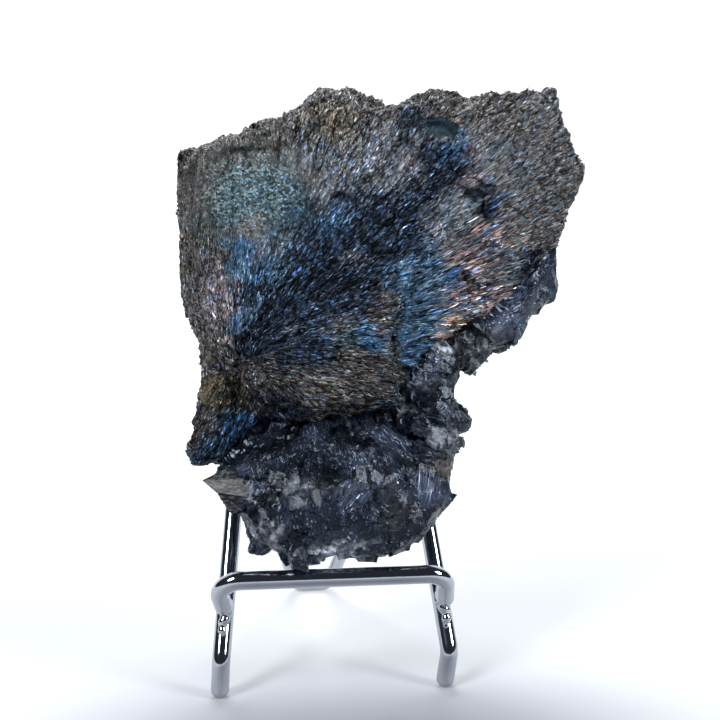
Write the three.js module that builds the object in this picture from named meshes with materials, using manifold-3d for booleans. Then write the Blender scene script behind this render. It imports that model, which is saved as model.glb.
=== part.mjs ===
// Berthierite specimen leaning on a small easel of bent and welded chrome wire.
// Units are millimetres, +Z is up, the viewer stands on the -Y side.

import * as THREE from 'three';
import { ConvexGeometry } from 'three/addons/geometries/ConvexGeometry.js';
import { mergeVertices } from 'three/addons/utils/BufferGeometryUtils.js';
import Module from 'manifold-3d';

const wasm = await Module();
wasm.setup();

const GAP = 0.3;

// Driving dimensions of the wire stand
const WIRE = 4;
const WIRE_SIDES = 12;
const LEG_LEAN = THREE.MathUtils.degToRad(28);
const LEG_FOOT_HALF = 25.4;
const LEG_NARROWING = 0.097;
const FOOT_HEIGHT = 8;
const FOOT_SWAY = { left: 0.4, right: 1.2 };
const FOOT_BEND = 5;
const FOOT_START = WIRE * 0.35;
const ARCH_TOP = 88;
const ARCH_RADIUS = 10;
const LIP_HALF = 25;
const LIP_SHIFT = -1.5;
const LIP_HEIGHT = 27;
const LIP_FORWARD = -4.6;
const LIP_RADIUS = 4.5;
const WELD_TOP = 18;
const WELD_BOTTOM = 12.5;
const BEAD_SIDES = 8;
const BEAD_STEPS = 4;
const BEAD_HALF_WIDTH = { top: WIRE * 0.42, bottom: WIRE * 0.16 };
const BEAD_RIPPLE = 0.15;
const BEAD_ROUNDNESS = 0.7;
const REAR_REACH = 75;
const REAR_HALF = 5;
const REAR_BEND = 3.5;
const REAR_WELD_HEIGHT = 62;
const REAR_FLAT_DEPTH = 0.15;

// Foot tip as radius and height, both as shares of the wire's thickness
const FOOT_PROFILE = [[0, 0], [0.3, 0], [0.44, 0.16], [0.5, 0.42], [0.48, 0.8], [0, 0.85]];

// Driving dimensions of the rock: its face leans back, and its own frame has
// x to the right, z up along the face and depth going into the rock
const ROCK_LEAN = THREE.MathUtils.degToRad(22);
const ROCK_FRONT = -12;
const ROCK_FOOT = 29;

// The fibres start at one place (x, z, depth) and stand out in bundles that break off in terraces
const FIBRE_CENTRE = [-22, 47, 1];
const APEX_RADIUS = 0.4;
const FIBRE_RELIEF = 0.5;
const FULL_RELIEF_RADIUS = 16;
const FIBRE_STEP = 3.4;
const FIBRE_LEAST_ANGLE = 0.03;
const FIBRES_IN_BUNDLE = 3;
const BUNDLE_RELIEF = 1.2;
const TERRACE_RELIEF = 1.6;
const TERRACE_LENGTH = 11;
const GRAINY_FACET = { left: -28, right: -4, low: 84, high: 102, relief: 0.25 };

// Rings of the fan's skin, as shares of the way out
const INNER_RINGS = [0.2, 0.45, 0.72];
const OUTER_RINGS = [0.4, 0.8];
const BACK_RINGS = [0.97, 0.66, 0.33];
const CREASE_HALF_WIDTH = 0.3;
const RIM_FROM_CREASE = 1.2;
const RIM_JAG = 0.9;
const RIM_RELIEF = 0.6;
const RIM_BULGE = 1.6;
const RIM_WALL = 2.5;

// The rock's back: the easel's legs slope along it, and above their arch it curves forward
const ROCK_BACK = 18.1;
const BACK_SLOPE = 0.105;
const BACK_RELIEF = 2.5;
const ARCH_ON_ROCK = 66;
const ABOVE_ARCH_SLOPE = 0.15;
const BACK_MIDDLE = 8;
const BACK_CROWN = 0.0035;
const LEAST_THICKNESS = 5;

// The ledge's upper face is hollow, its lip is rounded and it is rooted this deep in the fan
const LEDGE_HOLLOW = 2.4;
const LEDGE_ROOT = 7;
const LEDGE_OVERLAP = { up: 4, in: 1.2 };
const LIP_TURNS = 5;
const LIP_ROUNDING = 0.9;
const LIP_FIBRE_RELIEF = 0.5;
const LIP_ROOT_RISE = 0.6;

// Broken outline of the fan of fibres, clockwise from the waist: x, z, depth
const FAN_EDGE = [
  [-29, 51.5, 9], [-30.5, 57.5, 12], [-32.5, 62.5, 13], [-34, 69, 14], [-34.5, 80.5, 14],
  [-35, 92, 13], [-35.5, 102.5, 12], [-35, 105.5, 10], [-30, 106, 9], [-23, 109, 9],
  [-17, 111.5, 8], [-11.5, 113.5, 8], [-6, 116.5, 8], [-3.5, 119.5, 8], [-0.5, 122.5, 8],
  [4.5, 123, 8], [8.5, 122, 7], [11.5, 119.5, 7], [16.5, 118.5, 9], [20, 118.5, 9],
  [23.5, 121, 8], [30, 122.5, 7], [34.5, 121.5, 7], [38, 120, 8], [42, 122, 7],
  [49.5, 122.5, 6], [56.5, 122.5, 6], [60.5, 123, 5], [62, 119.5, 6], [63, 112.5, 6],
  [63.5, 107.5, 7], [66.5, 103.5, 8], [66.5, 99.5, 8], [64, 95, 8], [62.5, 91, 9],
  [59.5, 84.5, 9], [57.5, 80, 9], [52, 78, 8], [50, 72, 8], [44.5, 66.5, 7],
  [37.5, 61, 6], [31, 57, 5], [25, 54, 5], [20, 50, 4], [16, 45, 4],
  [13.5, 39.5, 2], [5.5, 39, 2], [-5, 37.5, 3], [-11, 38, 3], [-17, 36, 5],
  [-21, 32, 6], [-25, 28, 7], [-30.5, 26.5, 7], [-32, 29.5, 7], [-31.5, 33, 7],
  [-30, 39.5, 8], [-29.5, 44, 9],
];

// Crease inside that outline, where the face turns or drops: x, z, depth inside it, depth outside it
const FAN_CREASE = [
  [-27, 51.5, 4, 5], [-28.5, 56, 3, 3], [-29, 62.5, 1, 1], [-28.5, 72, 0, 0], [-28.5, 84.5, 0, 0],
  [-28.5, 98, 1, 1], [-24.5, 101, 2.5, 1], [-16.5, 102, 2.5, 1], [-8.5, 102.5, 2, 1],
  [-3, 107.5, 1.5, 1], [5.5, 111, 1.5, 1.5], [15, 109, 2, 2], [25.5, 111, 1.5, 2.5],
  [33.5, 106, 1, 2], [37.5, 89, 1, 2], [30.5, 82.5, 0.5, 2.5], [23.5, 74.5, 0, 3.5],
  [18.5, 68, -1, 4.5], [14.5, 59, -2, 4.5], [12.5, 50.5, -2, 4.5], [11, 43.5, -2, 4],
  [3, 41.5, 0, 1], [-9, 41, 2, 2], [-17, 41, 2, 3], [-21, 39, 3, 3], [-25.5, 38.5, 4, 4],
  [-27, 43, 5, 5],
];

// The ledge that stands out at the front, as slices from left to right: x, then z and depth
// of its upper end, of its nearest line and of its lower lip
const LEDGE_SLICES = [
  { x: -20, upper: [48, 0], crest: [44.5, -2.5], lip: [43.5, 0.5] },
  { x: -16.5, upper: [54, 0], crest: [41, -6], lip: [39, -2] },
  { x: -11.5, upper: [58, 0], crest: [38.5, -7.5], lip: [36, -3] },
  { x: -5.5, upper: [61, 0], crest: [37.5, -8], lip: [34.5, -3.5] },
  { x: 1.5, upper: [63, 0], crest: [38.5, -8], lip: [36, -3.5] },
  { x: 8, upper: [64, 0], crest: [39.5, -7.5], lip: [36.5, -3] },
  { x: 12.5, upper: [63, -0.5], crest: [40.5, -6.5], lip: [37, -2.5] },
  { x: 14, upper: [60, 0.5], crest: [41.5, -5], lip: [38, -1.5] },
];

// Pits broken out of the face, as the corners of what is missing: x, z, depth
const FACE_PITS = {
  flatPit: [
    [24.5, 111, -2], [30, 112, -2], [35, 108, -2], [33, 103.5, -2], [25.5, 105.5, -2],
    [25.5, 110, 4.2], [29, 110.5, 4.4], [33, 107.5, 4.6], [31.5, 104.8, 4.6], [26.5, 106.2, 4.2],
  ],
  pitLow: [
    [35.5, 90, -1], [39, 91.5, -1], [40.5, 87.5, -1], [37, 85.5, -1], [37.8, 88.6, 6],
  ],
  pitHigh: [
    [35.5, 94.5, -1], [38.5, 95.5, -1], [39, 92.5, -1], [36, 92, -1], [37.2, 93.8, 5],
  ],
  chip: [
    [30.5, 72.5, 2], [36.5, 68, 2], [32, 65.5, 2], [31.5, 71, 6.5], [35, 68.2, 6.2], [32.5, 66.8, 6.5],
  ],
  groove: [
    [24, 98, -2], [27, 97.5, -2], [33, 105, -2], [31.5, 105.5, -2], [26, 98.6, 4], [31.8, 104.8, 4],
  ],
};

// Small block-shaped crystal on the broken top edge
const TOP_CRYSTAL = [
  [12.4, 120.3, 8.5], [16, 120.8, 9], [16.2, 115, 8.5], [12.6, 115, 8], [12.6, 120, 13],
  [16, 120.4, 13], [16.2, 114, 13], [12.6, 114, 13],
];

// Quartz blocks as the corners of their flat faces: x, z, depth
const QUARTZ_BLOCKS = {
  core: [
    [-22, 24.5, 5], [-19, 13.5, 6], [-10.5, 7, 6], [13.5, 7.5, 7], [24, 19, 8], [28.5, 33.5, 9],
    [27.5, 44.5, 9], [16, 48.5, 8], [-7.5, 41.5, 8], [-18.5, 35.5, 9], [-21, 26.5, 17],
    [-17.5, 15, 16.5], [-9, 9, 16], [14, 9, 17], [25.5, 21.5, 18.5], [29.5, 36, 20],
    [27.5, 47.5, 21], [-6.5, 48, 21], [-19, 38, 19],
  ],
  pointedCrystal: [
    [-29, 22, 3], [-25, 25, 4], [-18.5, 21.5, -1], [-18.5, 16.5, -1], [-22, 14.5, 2],
    [-26, 19, 2], [-24, 26.5, 14], [-21, 16.5, 12], [-16, 21.5, 14],
  ],
  leftPlate: [
    [-25, 28, 7], [-16, 31.5, 4], [-11, 32.5, 4], [-11.5, 24, -2], [-18.5, 21, -1],
    [-23, 24, 4], [-23.5, 28.5, 15], [-10.5, 33.5, 15], [-16, 23, 15],
  ],
  leftBlock: [
    [-19.5, 20.5, 0], [-11.5, 24.5, -2], [-11.5, 12, -5], [-12, 5, 0], [-19.5, 11.5, 3],
    [-18.5, 23.5, 14], [-10.5, 29.5, 14], [-10.5, 8, 14], [-18, 12.5, 12],
  ],
  upperMiddle: [
    [-11, 29.5, 1], [-1, 34.5, 3], [11, 35.5, 3], [17.5, 24.5, 1], [11.5, 19.5, -3],
    [-3.5, 16, -6], [-11, 17, -4], [-9.5, 36, 16], [17, 38, 16], [17, 23.5, 16], [-9.5, 19.5, 16],
  ],
  lowerMiddle: [
    [-12.2, 16.5, -2.6], [-3, 16, -4], [11.5, 19.5, -1], [16.5, 12, 1], [18.5, 7.5, 4],
    [13, 5.5, 5], [4, 4.5, 4], [-4, 5, 3], [-12, 7.5, 1], [-8.5, 20.5, 16], [18.5, 19, 17],
    [16, 9.5, 16], [-8, 9, 15],
  ],
  rightBlock: [
    [17, 25, 0.5], [22.5, 23.5, 2], [26, 21.5, 5], [25.5, 17.5, 6], [21.5, 14, 6], [19, 8, 6],
    [16, 11.5, 0.5], [11, 19.5, 0], [27.5, 23.5, 17], [22.5, 13, 16], [18.5, 26, 17],
  ],
  footLobe: [
    [-12, 8, 0], [-4, 5.5, 0.5], [-4.5, 3, 2.5], [-7, 2, 3], [-10.5, 2, 3], [-12.5, 4, 2],
    [-7, 3.5, 7], [-10, 3.5, 7], [-10.5, 8.5, 14], [-4, 6.5, 14], [-6.5, 5, 13], [-9.5, 5, 13],
  ],
  striatedBlock: [
    [15, 48, 5], [26.5, 51.5, 6], [27.5, 42, 5], [25, 32, 2], [21, 29, 1], [13.5, 33, 2],
    [16.5, 49, 17], [30, 48, 18], [28, 35.5, 18],
  ],
  rightKnob: [
    [26, 38.5, 6], [30, 39.5, 7], [32, 37.5, 9], [32.5, 34.5, 10], [30, 32.5, 9], [26, 32.5, 6],
    [29.5, 40.5, 18], [33, 39.5, 17], [32.5, 36, 17], [29, 35, 17],
  ],
  paleWedge: [
    [20, 29, 1], [26, 32, 3], [30, 30, 7], [27.5, 28, 6], [23, 27, 2], [25, 33, 16],
    [30.5, 31.5, 15],
  ],
  darkBlock: [
    [15.5, 29.5, 2], [20.5, 27, 2], [27.5, 28, 7], [27, 23.5, 6], [23, 22.5, 3], [17, 24, 1],
    [21.5, 30.5, 17], [28, 29, 16], [27.5, 25.5, 16],
  ],
  rightPlate: [
    [21, 51.5, 6], [24.5, 52.5, 3], [30, 51, 5], [29.5, 43.5, 7], [25.5, 40.5, 4],
    [23, 46.5, 3], [24, 53, 17], [31.5, 53.5, 18], [30, 45.5, 17],
  ],
  crustLow: [
    [29, 56, 4], [35, 59.5, 4], [38.5, 54.5, 7], [37, 50, 10], [32, 47, 9], [29, 49.5, 6],
    [33.5, 60, 19], [40.5, 62, 20], [37.5, 52.5, 18], [33, 51, 17],
  ],
  crustMiddle: [
    [35, 60, 5], [41, 63.5, 6], [44.5, 65, 6], [48, 61, 9], [48.5, 58.5, 11], [43.5, 53, 11],
    [39, 51.5, 10], [34.5, 54.5, 7], [40, 64.5, 20], [50, 67.5, 21], [49.5, 60.5, 20],
    [42, 55.5, 19],
  ],
  crustHigh: [
    [42, 64.5, 6], [47, 69, 6], [53, 64.5, 11], [49, 61, 11], [43.5, 60, 8], [47.5, 70, 20],
    [54.5, 70, 21], [51, 65, 20],
  ],
  crustTop: [
    [50, 77.5, 6], [57, 81.5, 9], [58, 76.5, 11], [57.5, 70, 12], [56, 66.5, 13], [53, 64, 12],
    [48, 65, 8], [46, 68, 6], [55.5, 83, 20], [59, 82, 19], [58.5, 70.5, 20], [52.5, 68.5, 20],
  ],
  lumpBehind: [
    [-19, 11.5, 8], [-19.5, 9.5, 8], [-18, 8, 8], [-15, 7, 6], [-15.5, 10, 3], [-18.5, 12, 15],
    [-18, 9.5, 15], [-15, 9, 15],
  ],
};

// A number between 0 and 1 that looks random but depends only on the two it is given
function scatter(a, b) {
  const s = Math.sin(a * 12.9898 + b * 78.233) * 43758.5453;
  return s - Math.floor(s);
}

// Boolean work: a closed geometry becomes a solid and a solid becomes a geometry again
function toSolid(geometry) {
  const bare = geometry.clone();
  bare.deleteAttribute('normal');
  bare.deleteAttribute('uv');
  const merged = mergeVertices(bare, 1e-4);
  return new wasm.Manifold(new wasm.Mesh({
    numProp: 3,
    vertProperties: new Float32Array(merged.attributes.position.array),
    triVerts: new Uint32Array(merged.index.array),
  }));
}

function toGeometry(solid) {
  const mesh = solid.getMesh();
  const geometry = new THREE.BufferGeometry();
  geometry.setAttribute('position', new THREE.BufferAttribute(mesh.vertProperties, 3));
  geometry.setIndex(new THREE.BufferAttribute(mesh.triVerts, 1));
  return geometry;
}

function joined(solids) {
  return solids.reduce((sum, solid) => sum.add(solid));
}

// The largest connected body, without crumbs that a cut leaves or pockets sealed inside
function mainBody(solid) {
  return solid.decompose().reduce((best, part) => (part.volume() > best.volume() ? part : best));
}

// Corners are Vector3, triangles are index triples. Turned over if the faces point inwards
function closedGeometry(corners, triangles) {
  const cross = new THREE.Vector3();
  let volume = 0;
  for (const [a, b, c] of triangles) {
    cross.crossVectors(corners[b], corners[c]);
    volume += corners[a].dot(cross);
  }
  const outward = volume > 0 ? triangles : triangles.map(([a, b, c]) => [a, c, b]);
  const geometry = new THREE.BufferGeometry();
  geometry.setAttribute('position', new THREE.Float32BufferAttribute(corners.flatMap((p) => p.toArray()), 3));
  geometry.setIndex(outward.flat());
  return geometry;
}

// Skin over a list of equal rings. Each end is closed by a fan from its middle
function ringSkin(rings) {
  const count = rings[0].length;
  const corners = rings.flat();
  const triangles = [];
  for (let r = 0; r < rings.length - 1; r += 1) {
    for (let i = 0; i < count; i += 1) {
      const j = (i + 1) % count;
      const a = r * count + i;
      const b = r * count + j;
      triangles.push([a, b, b + count], [a, b + count, a + count]);
    }
  }
  const ends = [[0, false], [rings.length - 1, true]];
  for (const [r, flipped] of ends) {
    const middle = new THREE.Vector3();
    rings[r].forEach((p) => middle.addScaledVector(p, 1 / count));
    corners.push(middle);
    const m = corners.length - 1;
    for (let i = 0; i < count; i += 1) {
      const a = r * count + i;
      const b = r * count + ((i + 1) % count);
      triangles.push(flipped ? [a, b, m] : [b, a, m]);
    }
  }
  return closedGeometry(corners, triangles);
}

// Where the ray at an angle from the fibre centre meets an outline that goes round it.
// Returns the distance and the outline's remaining values, read between its corners
function rayOutline(angle, outline) {
  const [cx, cz] = FIBRE_CENTRE;
  const dx = Math.cos(angle);
  const dz = Math.sin(angle);
  let best = null;
  outline.forEach((p, i) => {
    const q = outline[(i + 1) % outline.length];
    const ex = q[0] - p[0];
    const ez = q[1] - p[1];
    const det = ex * dz - ez * dx;
    const distance = (ex * (p[1] - cz) - ez * (p[0] - cx)) / det;
    const along = (dx * (p[1] - cz) - dz * (p[0] - cx)) / det;
    if (distance > 0 && along > -1e-6 && along < 1 + 1e-6 && (!best || distance > best.distance)) {
      best = { distance, values: p.slice(2).map((v, k) => v + (q[k + 2] - v) * along) };
    }
  });
  return best;
}

// Angles of the fibres: every corner of the outline, and steps between them
function fibreAngles() {
  const [cx, cz] = FIBRE_CENTRE;
  const angles = [];
  FAN_EDGE.forEach((p, i) => {
    const q = FAN_EDGE[(i + 1) % FAN_EDGE.length];
    const start = Math.atan2(p[1] - cz, p[0] - cx);
    let end = Math.atan2(q[1] - cz, q[0] - cx);
    if (end > start) end -= 2 * Math.PI;
    const span = Math.hypot(q[0] - p[0], q[1] - p[1]);
    const most = Math.ceil((start - end) / FIBRE_LEAST_ANGLE);
    const pieces = Math.max(1, Math.min(Math.round(span / FIBRE_STEP), most));
    for (let k = 0; k < pieces; k += 1) {
      angles.push(start + ((end - start) * k) / pieces);
    }
  });
  return angles;
}

// How strongly the fibres stand out at a place: nearly flat in the recessed granular facet
function fibreStrength(x, z, radius) {
  const { left, right, low, high, relief } = GRAINY_FACET;
  const inFacet = x > left && x < right && z > low && z < high;
  const near = Math.min(1, radius / FULL_RELIEF_RADIUS);
  return inFacet ? relief * near : near;
}

// Height of one fibre's crest: fibres alternate, bundles of them lie higher or lower, and
// a bundle breaks off in terraces along its length
function fibreCrest(i, radius) {
  const fibre = (i % 2 ? 0.5 : -0.5) * (0.5 + scatter(i, 1));
  const bundle = Math.floor(i / FIBRES_IN_BUNDLE);
  const level = scatter(bundle, 9) - 0.5;
  const terrace = scatter(bundle, Math.floor(radius / TERRACE_LENGTH + 0.7 * scatter(bundle, 4))) - 0.5;
  return fibre + BUNDLE_RELIEF * level + TERRACE_RELIEF * terrace;
}

// Depth of the ledge's upper face, or nothing where the ledge doesn't reach
function ledgeDepth(x, z) {
  const i = LEDGE_SLICES.findIndex((slice, k) => k > 0 && x <= slice.x);
  if (i < 0 || x < LEDGE_SLICES[0].x) return null;
  const left = LEDGE_SLICES[i - 1];
  const right = LEDGE_SLICES[i];
  const t = (x - left.x) / (right.x - left.x);
  const mix = (key, k) => THREE.MathUtils.lerp(left[key][k], right[key][k], t);
  const up = (z - mix('crest', 0)) / (mix('upper', 0) - mix('crest', 0));
  if (up < 0 || up > 1) return null;
  return THREE.MathUtils.lerp(mix('crest', 1), mix('upper', 1), up) - LEDGE_HOLLOW * up * (1 - up);
}

function backDepth(x, z) {
  const legs = ROCK_BACK + BACK_SLOPE * Math.min(z, ARCH_ON_ROCK);
  const aboveArch = Math.max(0, z - ARCH_ON_ROCK) * ABOVE_ARCH_SLOPE;
  const side = BACK_CROWN * (x - BACK_MIDDLE) ** 2;
  return legs - aboveArch - side;
}

// The fan of fibres. When it grows, it turns into a smooth and slightly larger form of itself,
// which cuts the seat for it out of the quartz
function fanSolid(grow) {
  const [cx, cz, centreDepth] = FIBRE_CENTRE;
  const relief = grow > 0 ? 0 : FIBRE_RELIEF;
  const columns = fibreAngles().map((angle, i) => {
    const bundle = Math.floor(i / FIBRES_IN_BUNDLE);
    const edge = rayOutline(angle, FAN_EDGE);
    const crease = rayOutline(angle, FAN_CREASE);
    const jag = grow > 0 ? grow : (scatter(i, 3) - 0.5) * RIM_JAG;
    const rim = edge.distance + jag;
    const turn = Math.min(crease.distance, rim - RIM_FROM_CREASE);
    const [insideDepth, outsideDepth] = crease.values;
    const column = [];
    const put = (radius, depth, rough = 1) => {
      const x = cx + Math.cos(angle) * radius;
      const z = cz + Math.sin(angle) * radius;
      const crest = relief * fibreCrest(i, radius) * fibreStrength(x, z, radius);
      column.push(new THREE.Vector3(x, depth + crest * rough, z));
    };
    const putFront = (radius, depth) => {
      const ledge = ledgeDepth(cx + Math.cos(angle) * radius, cz + Math.sin(angle) * radius);
      put(radius, (ledge === null ? depth : Math.min(depth, ledge)) - grow);
    };
    const putBack = (radius, sunk) => {
      const depth = backDepth(cx + Math.cos(angle) * radius, cz + Math.sin(angle) * radius);
      put(radius, Math.max(depth - sunk, edge.values[0] + LEAST_THICKNESS) + grow, 0);
    };
    put(APEX_RADIUS, centreDepth - grow, 0);
    INNER_RINGS.forEach((t) => putFront(turn * t, THREE.MathUtils.lerp(centreDepth, insideDepth, t)));
    putFront(turn - CREASE_HALF_WIDTH, insideDepth);
    putFront(turn + CREASE_HALF_WIDTH, outsideDepth);
    OUTER_RINGS.forEach((t) => putFront(
      THREE.MathUtils.lerp(turn, rim, t),
      THREE.MathUtils.lerp(outsideDepth, edge.values[0], t * t),
    ));
    put(rim, edge.values[0] - grow, RIM_RELIEF);
    put(rim + (scatter(bundle, 7) - 0.5) * RIM_BULGE, edge.values[0] + RIM_WALL + scatter(i, 8), 0);
    BACK_RINGS.forEach((t, k) => putBack(rim * t, BACK_RELIEF * scatter(bundle, 5 + k)));
    putBack(APEX_RADIUS, BACK_RELIEF / 2);
    return column;
  });
  return toSolid(ringSkin(columns[0].map((_, r) => columns.map((column) => column[r]))));
}

// The ledge's rounded lower lip, with fibres that run along it. Its upper face is the fan's
function lipSolid(grow) {
  const last = LEDGE_SLICES.length - 1;
  const rings = LEDGE_SLICES.map(({ x, upper, crest, lip }, i) => {
    const end = (i === last) - (i === 0);
    const ring = [];
    const put = (depth, z) => ring.push(new THREE.Vector3(x + end * grow, depth, z));
    put(crest[1] + LEDGE_OVERLAP.in - grow, crest[0] + LEDGE_OVERLAP.up);
    for (let k = 0; k <= LIP_TURNS; k += 1) {
      const t = k / LIP_TURNS;
      const fibre = grow > 0 ? 0 : LIP_FIBRE_RELIEF * (k % 2) * scatter(i, k);
      const out = grow + LIP_ROUNDING * Math.sin(Math.PI * t) + fibre;
      const depth = THREE.MathUtils.lerp(crest[1], lip[1], t) - out;
      put(depth, THREE.MathUtils.lerp(crest[0], lip[0], t) - out * t);
    }
    put(LEDGE_ROOT, lip[0] + LIP_ROOT_RISE - grow);
    put(LEDGE_ROOT, (upper[0] + crest[0]) / 2);
    return ring;
  });
  return toSolid(ringSkin(rings));
}

function blockSolid(corners) {
  const points = corners.map(([x, z, depth]) => new THREE.Vector3(x, depth, z));
  return toSolid(new ConvexGeometry(points));
}

function berthieriteSolid(grow = 0) {
  const whole = fanSolid(grow).add(lipSolid(grow));
  if (grow > 0) return whole;
  const cuts = Object.values(FACE_PITS).map(blockSolid);
  return mainBody(joined([whole, blockSolid(TOP_CRYSTAL)]).subtract(joined(cuts)));
}

function quartzSolid() {
  const blocks = joined(Object.values(QUARTZ_BLOCKS).map(blockSolid));
  return mainBody(blocks.subtract(berthieriteSolid(FIBRE_RELIEF + GAP)));
}

// A wire's middle line: straight runs joined by round bends. Each corner has its bend radius
function bentLine(corners) {
  const line = [];
  corners.forEach(({ at, bend = 0 }, i) => {
    if (!bend) {
      line.push(at);
      return;
    }
    const back = corners[i - 1].at.clone().sub(at).normalize();
    const on = corners[i + 1].at.clone().sub(at).normalize();
    const turn = Math.PI - back.angleTo(on);
    const setback = bend * Math.tan(turn / 2);
    const middle = back.clone().add(on).normalize().multiplyScalar(bend / Math.cos(turn / 2)).add(at);
    const from = back.clone().multiplyScalar(setback).add(at).sub(middle);
    const axis = new THREE.Vector3().crossVectors(back, on).normalize().negate();
    const steps = Math.max(2, Math.ceil(turn / THREE.MathUtils.degToRad(18)));
    for (let k = 0; k <= steps; k += 1) {
      line.push(from.clone().applyAxisAngle(axis, (turn * k) / steps).add(middle));
    }
  });
  return line;
}

class WireCurve extends THREE.Curve {
  constructor(line) {
    super();
    this.line = line;
  }

  getPoint(t) {
    const s = t * (this.line.length - 1);
    const i = Math.min(Math.floor(s), this.line.length - 2);
    return new THREE.Vector3().lerpVectors(this.line[i], this.line[i + 1], s - i);
  }

  getPointAt(u) {
    return this.getPoint(u);
  }

  getTangentAt(u) {
    const half = 0.5 / (this.line.length - 1);
    const ahead = this.getPoint(Math.min(1, u + half));
    return ahead.sub(this.getPoint(Math.max(0, u - half))).normalize();
  }
}

function wireSolid(corners) {
  const line = bentLine(corners);
  const section = new THREE.Shape();
  for (let k = 0; k < WIRE_SIDES; k += 1) {
    const a = (2 * Math.PI * k) / WIRE_SIDES;
    const x = (Math.cos(a) * WIRE) / 2;
    const y = (Math.sin(a) * WIRE) / 2;
    if (k === 0) section.moveTo(x, y);
    else section.lineTo(x, y);
  }
  return toSolid(new THREE.ExtrudeGeometry(section, {
    steps: line.length - 1,
    extrudePath: new WireCurve(line),
    curveSegments: 1,
  }));
}

// Rounded foot tip with a small flat that stands on the floor
function footTip(x, y) {
  const profile = FOOT_PROFILE.map(([radius, height]) => new THREE.Vector2(WIRE * radius, WIRE * height));
  const tip = new THREE.LatheGeometry(profile, WIRE_SIDES);
  tip.rotateX(Math.PI / 2);
  tip.translate(x, y, 0);
  return toSolid(tip);
}

// A point on the back frame's leg plane; side is -1 for the left leg and 1 for the right
function legPoint(side, height) {
  const half = LEG_FOOT_HALF - LEG_NARROWING * (height - FOOT_HEIGHT);
  return new THREE.Vector3(side * half, (height - FOOT_HEIGHT) * Math.tan(LEG_LEAN), height);
}

function backFrameSolid() {
  const footX = (s) => s * LEG_FOOT_HALF - (s < 0 ? FOOT_SWAY.left : FOOT_SWAY.right);
  const side = (s) => [
    { at: new THREE.Vector3(footX(s), 0, FOOT_START) },
    { at: legPoint(s, FOOT_HEIGHT), bend: FOOT_BEND },
    { at: legPoint(s, ARCH_TOP), bend: ARCH_RADIUS },
  ];
  const corners = [...side(-1), ...side(1).reverse()];
  const tips = [-1, 1].map((s) => footTip(footX(s), 0));
  return joined([wireSolid(corners), ...tips]);
}

// The weld bead runs down the front of the leg from the end of the lip's arm
function weldBead(side) {
  const rings = [];
  const right = new THREE.Vector3(1, 0, 0);
  const front = new THREE.Vector3(0, -Math.cos(LEG_LEAN), Math.sin(LEG_LEAN));
  for (let k = 0; k <= BEAD_STEPS; k += 1) {
    const t = k / BEAD_STEPS;
    const base = legPoint(side, THREE.MathUtils.lerp(WELD_TOP, WELD_BOTTOM, t));
    const taper = THREE.MathUtils.lerp(BEAD_HALF_WIDTH.top, BEAD_HALF_WIDTH.bottom, t);
    const width = taper + BEAD_RIPPLE * Math.sin(k * 2.4 + side);
    const ring = [];
    for (let i = 0; i < BEAD_SIDES; i += 1) {
      const a = (2 * Math.PI * i) / BEAD_SIDES;
      ring.push(base.clone()
        .addScaledVector(front, WIRE / 2 + GAP + width * BEAD_ROUNDNESS * (1 + Math.sin(a)))
        .addScaledVector(right, Math.cos(a) * width));
    }
    rings.push(ring);
  }
  return toSolid(ringSkin(rings));
}

function frontLipSolid() {
  const armEnd = (s) => legPoint(s, WELD_TOP - 1)
    .add(new THREE.Vector3(0, -Math.cos(LEG_LEAN), Math.sin(LEG_LEAN)).multiplyScalar(WIRE + GAP));
  const corner = (s) => new THREE.Vector3(s * LIP_HALF + LIP_SHIFT, LIP_FORWARD, LIP_HEIGHT);
  const wire = wireSolid([
    { at: armEnd(-1) },
    { at: corner(-1), bend: LIP_RADIUS },
    { at: corner(1), bend: LIP_RADIUS },
    { at: armEnd(1) },
  ]);
  return joined([wire, weldBead(-1), weldBead(1)]);
}

function rearLegSolid() {
  const top = (s) => legPoint(s, REAR_WELD_HEIGHT)
    .add(new THREE.Vector3(0, Math.cos(LEG_LEAN), -Math.sin(LEG_LEAN)).multiplyScalar(WIRE + GAP));
  const bottom = (s) => new THREE.Vector3(s * REAR_HALF, REAR_REACH, WIRE / 2 - REAR_FLAT_DEPTH);
  const wire = wireSolid([
    { at: top(-1) },
    { at: bottom(-1), bend: REAR_BEND },
    { at: bottom(1), bend: REAR_BEND },
    { at: top(1) },
  ]);
  const floor = new THREE.BoxGeometry(8 * REAR_HALF, 8 * WIRE, WIRE);
  floor.translate(0, REAR_REACH, -WIRE / 2);
  return wire.subtract(toSolid(floor));
}

const fibrousMetal = new THREE.MeshStandardMaterial({ color: 0x3b3a41, roughness: 0.5, metalness: 0.6 });
const darkQuartz = new THREE.MeshStandardMaterial({ color: 0x23262e, roughness: 0.25, metalness: 0.1 });
const chrome = new THREE.MeshStandardMaterial({ color: 0xc9ccd1, roughness: 0.12, metalness: 1 });

function piece(name, solid, material) {
  const mesh = new THREE.Mesh(toGeometry(solid), material.clone());
  mesh.name = name;
  return mesh;
}

const rock = new THREE.Group();
rock.rotation.x = -ROCK_LEAN;
rock.position.set(0, ROCK_FRONT, ROCK_FOOT);
rock.add(piece('berthierite', berthieriteSolid(), fibrousMetal));
rock.add(piece('quartz_cluster', quartzSolid(), darkQuartz));

const stand = new THREE.Group();
stand.add(piece('back_frame', backFrameSolid(), chrome));
stand.add(piece('front_lip', frontLipSolid(), chrome));
stand.add(piece('rear_leg', rearLegSolid(), chrome));

// The origin is on the floor, under the middle of the whole object
const specimen = new THREE.Group();
specimen.add(rock, stand);
specimen.updateMatrixWorld(true);
const bounds = new THREE.Box3().setFromObject(specimen, true);
specimen.position.set(-(bounds.min.x + bounds.max.x) / 2, -(bounds.min.y + bounds.max.y) / 2, 0);

export default specimen;
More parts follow.
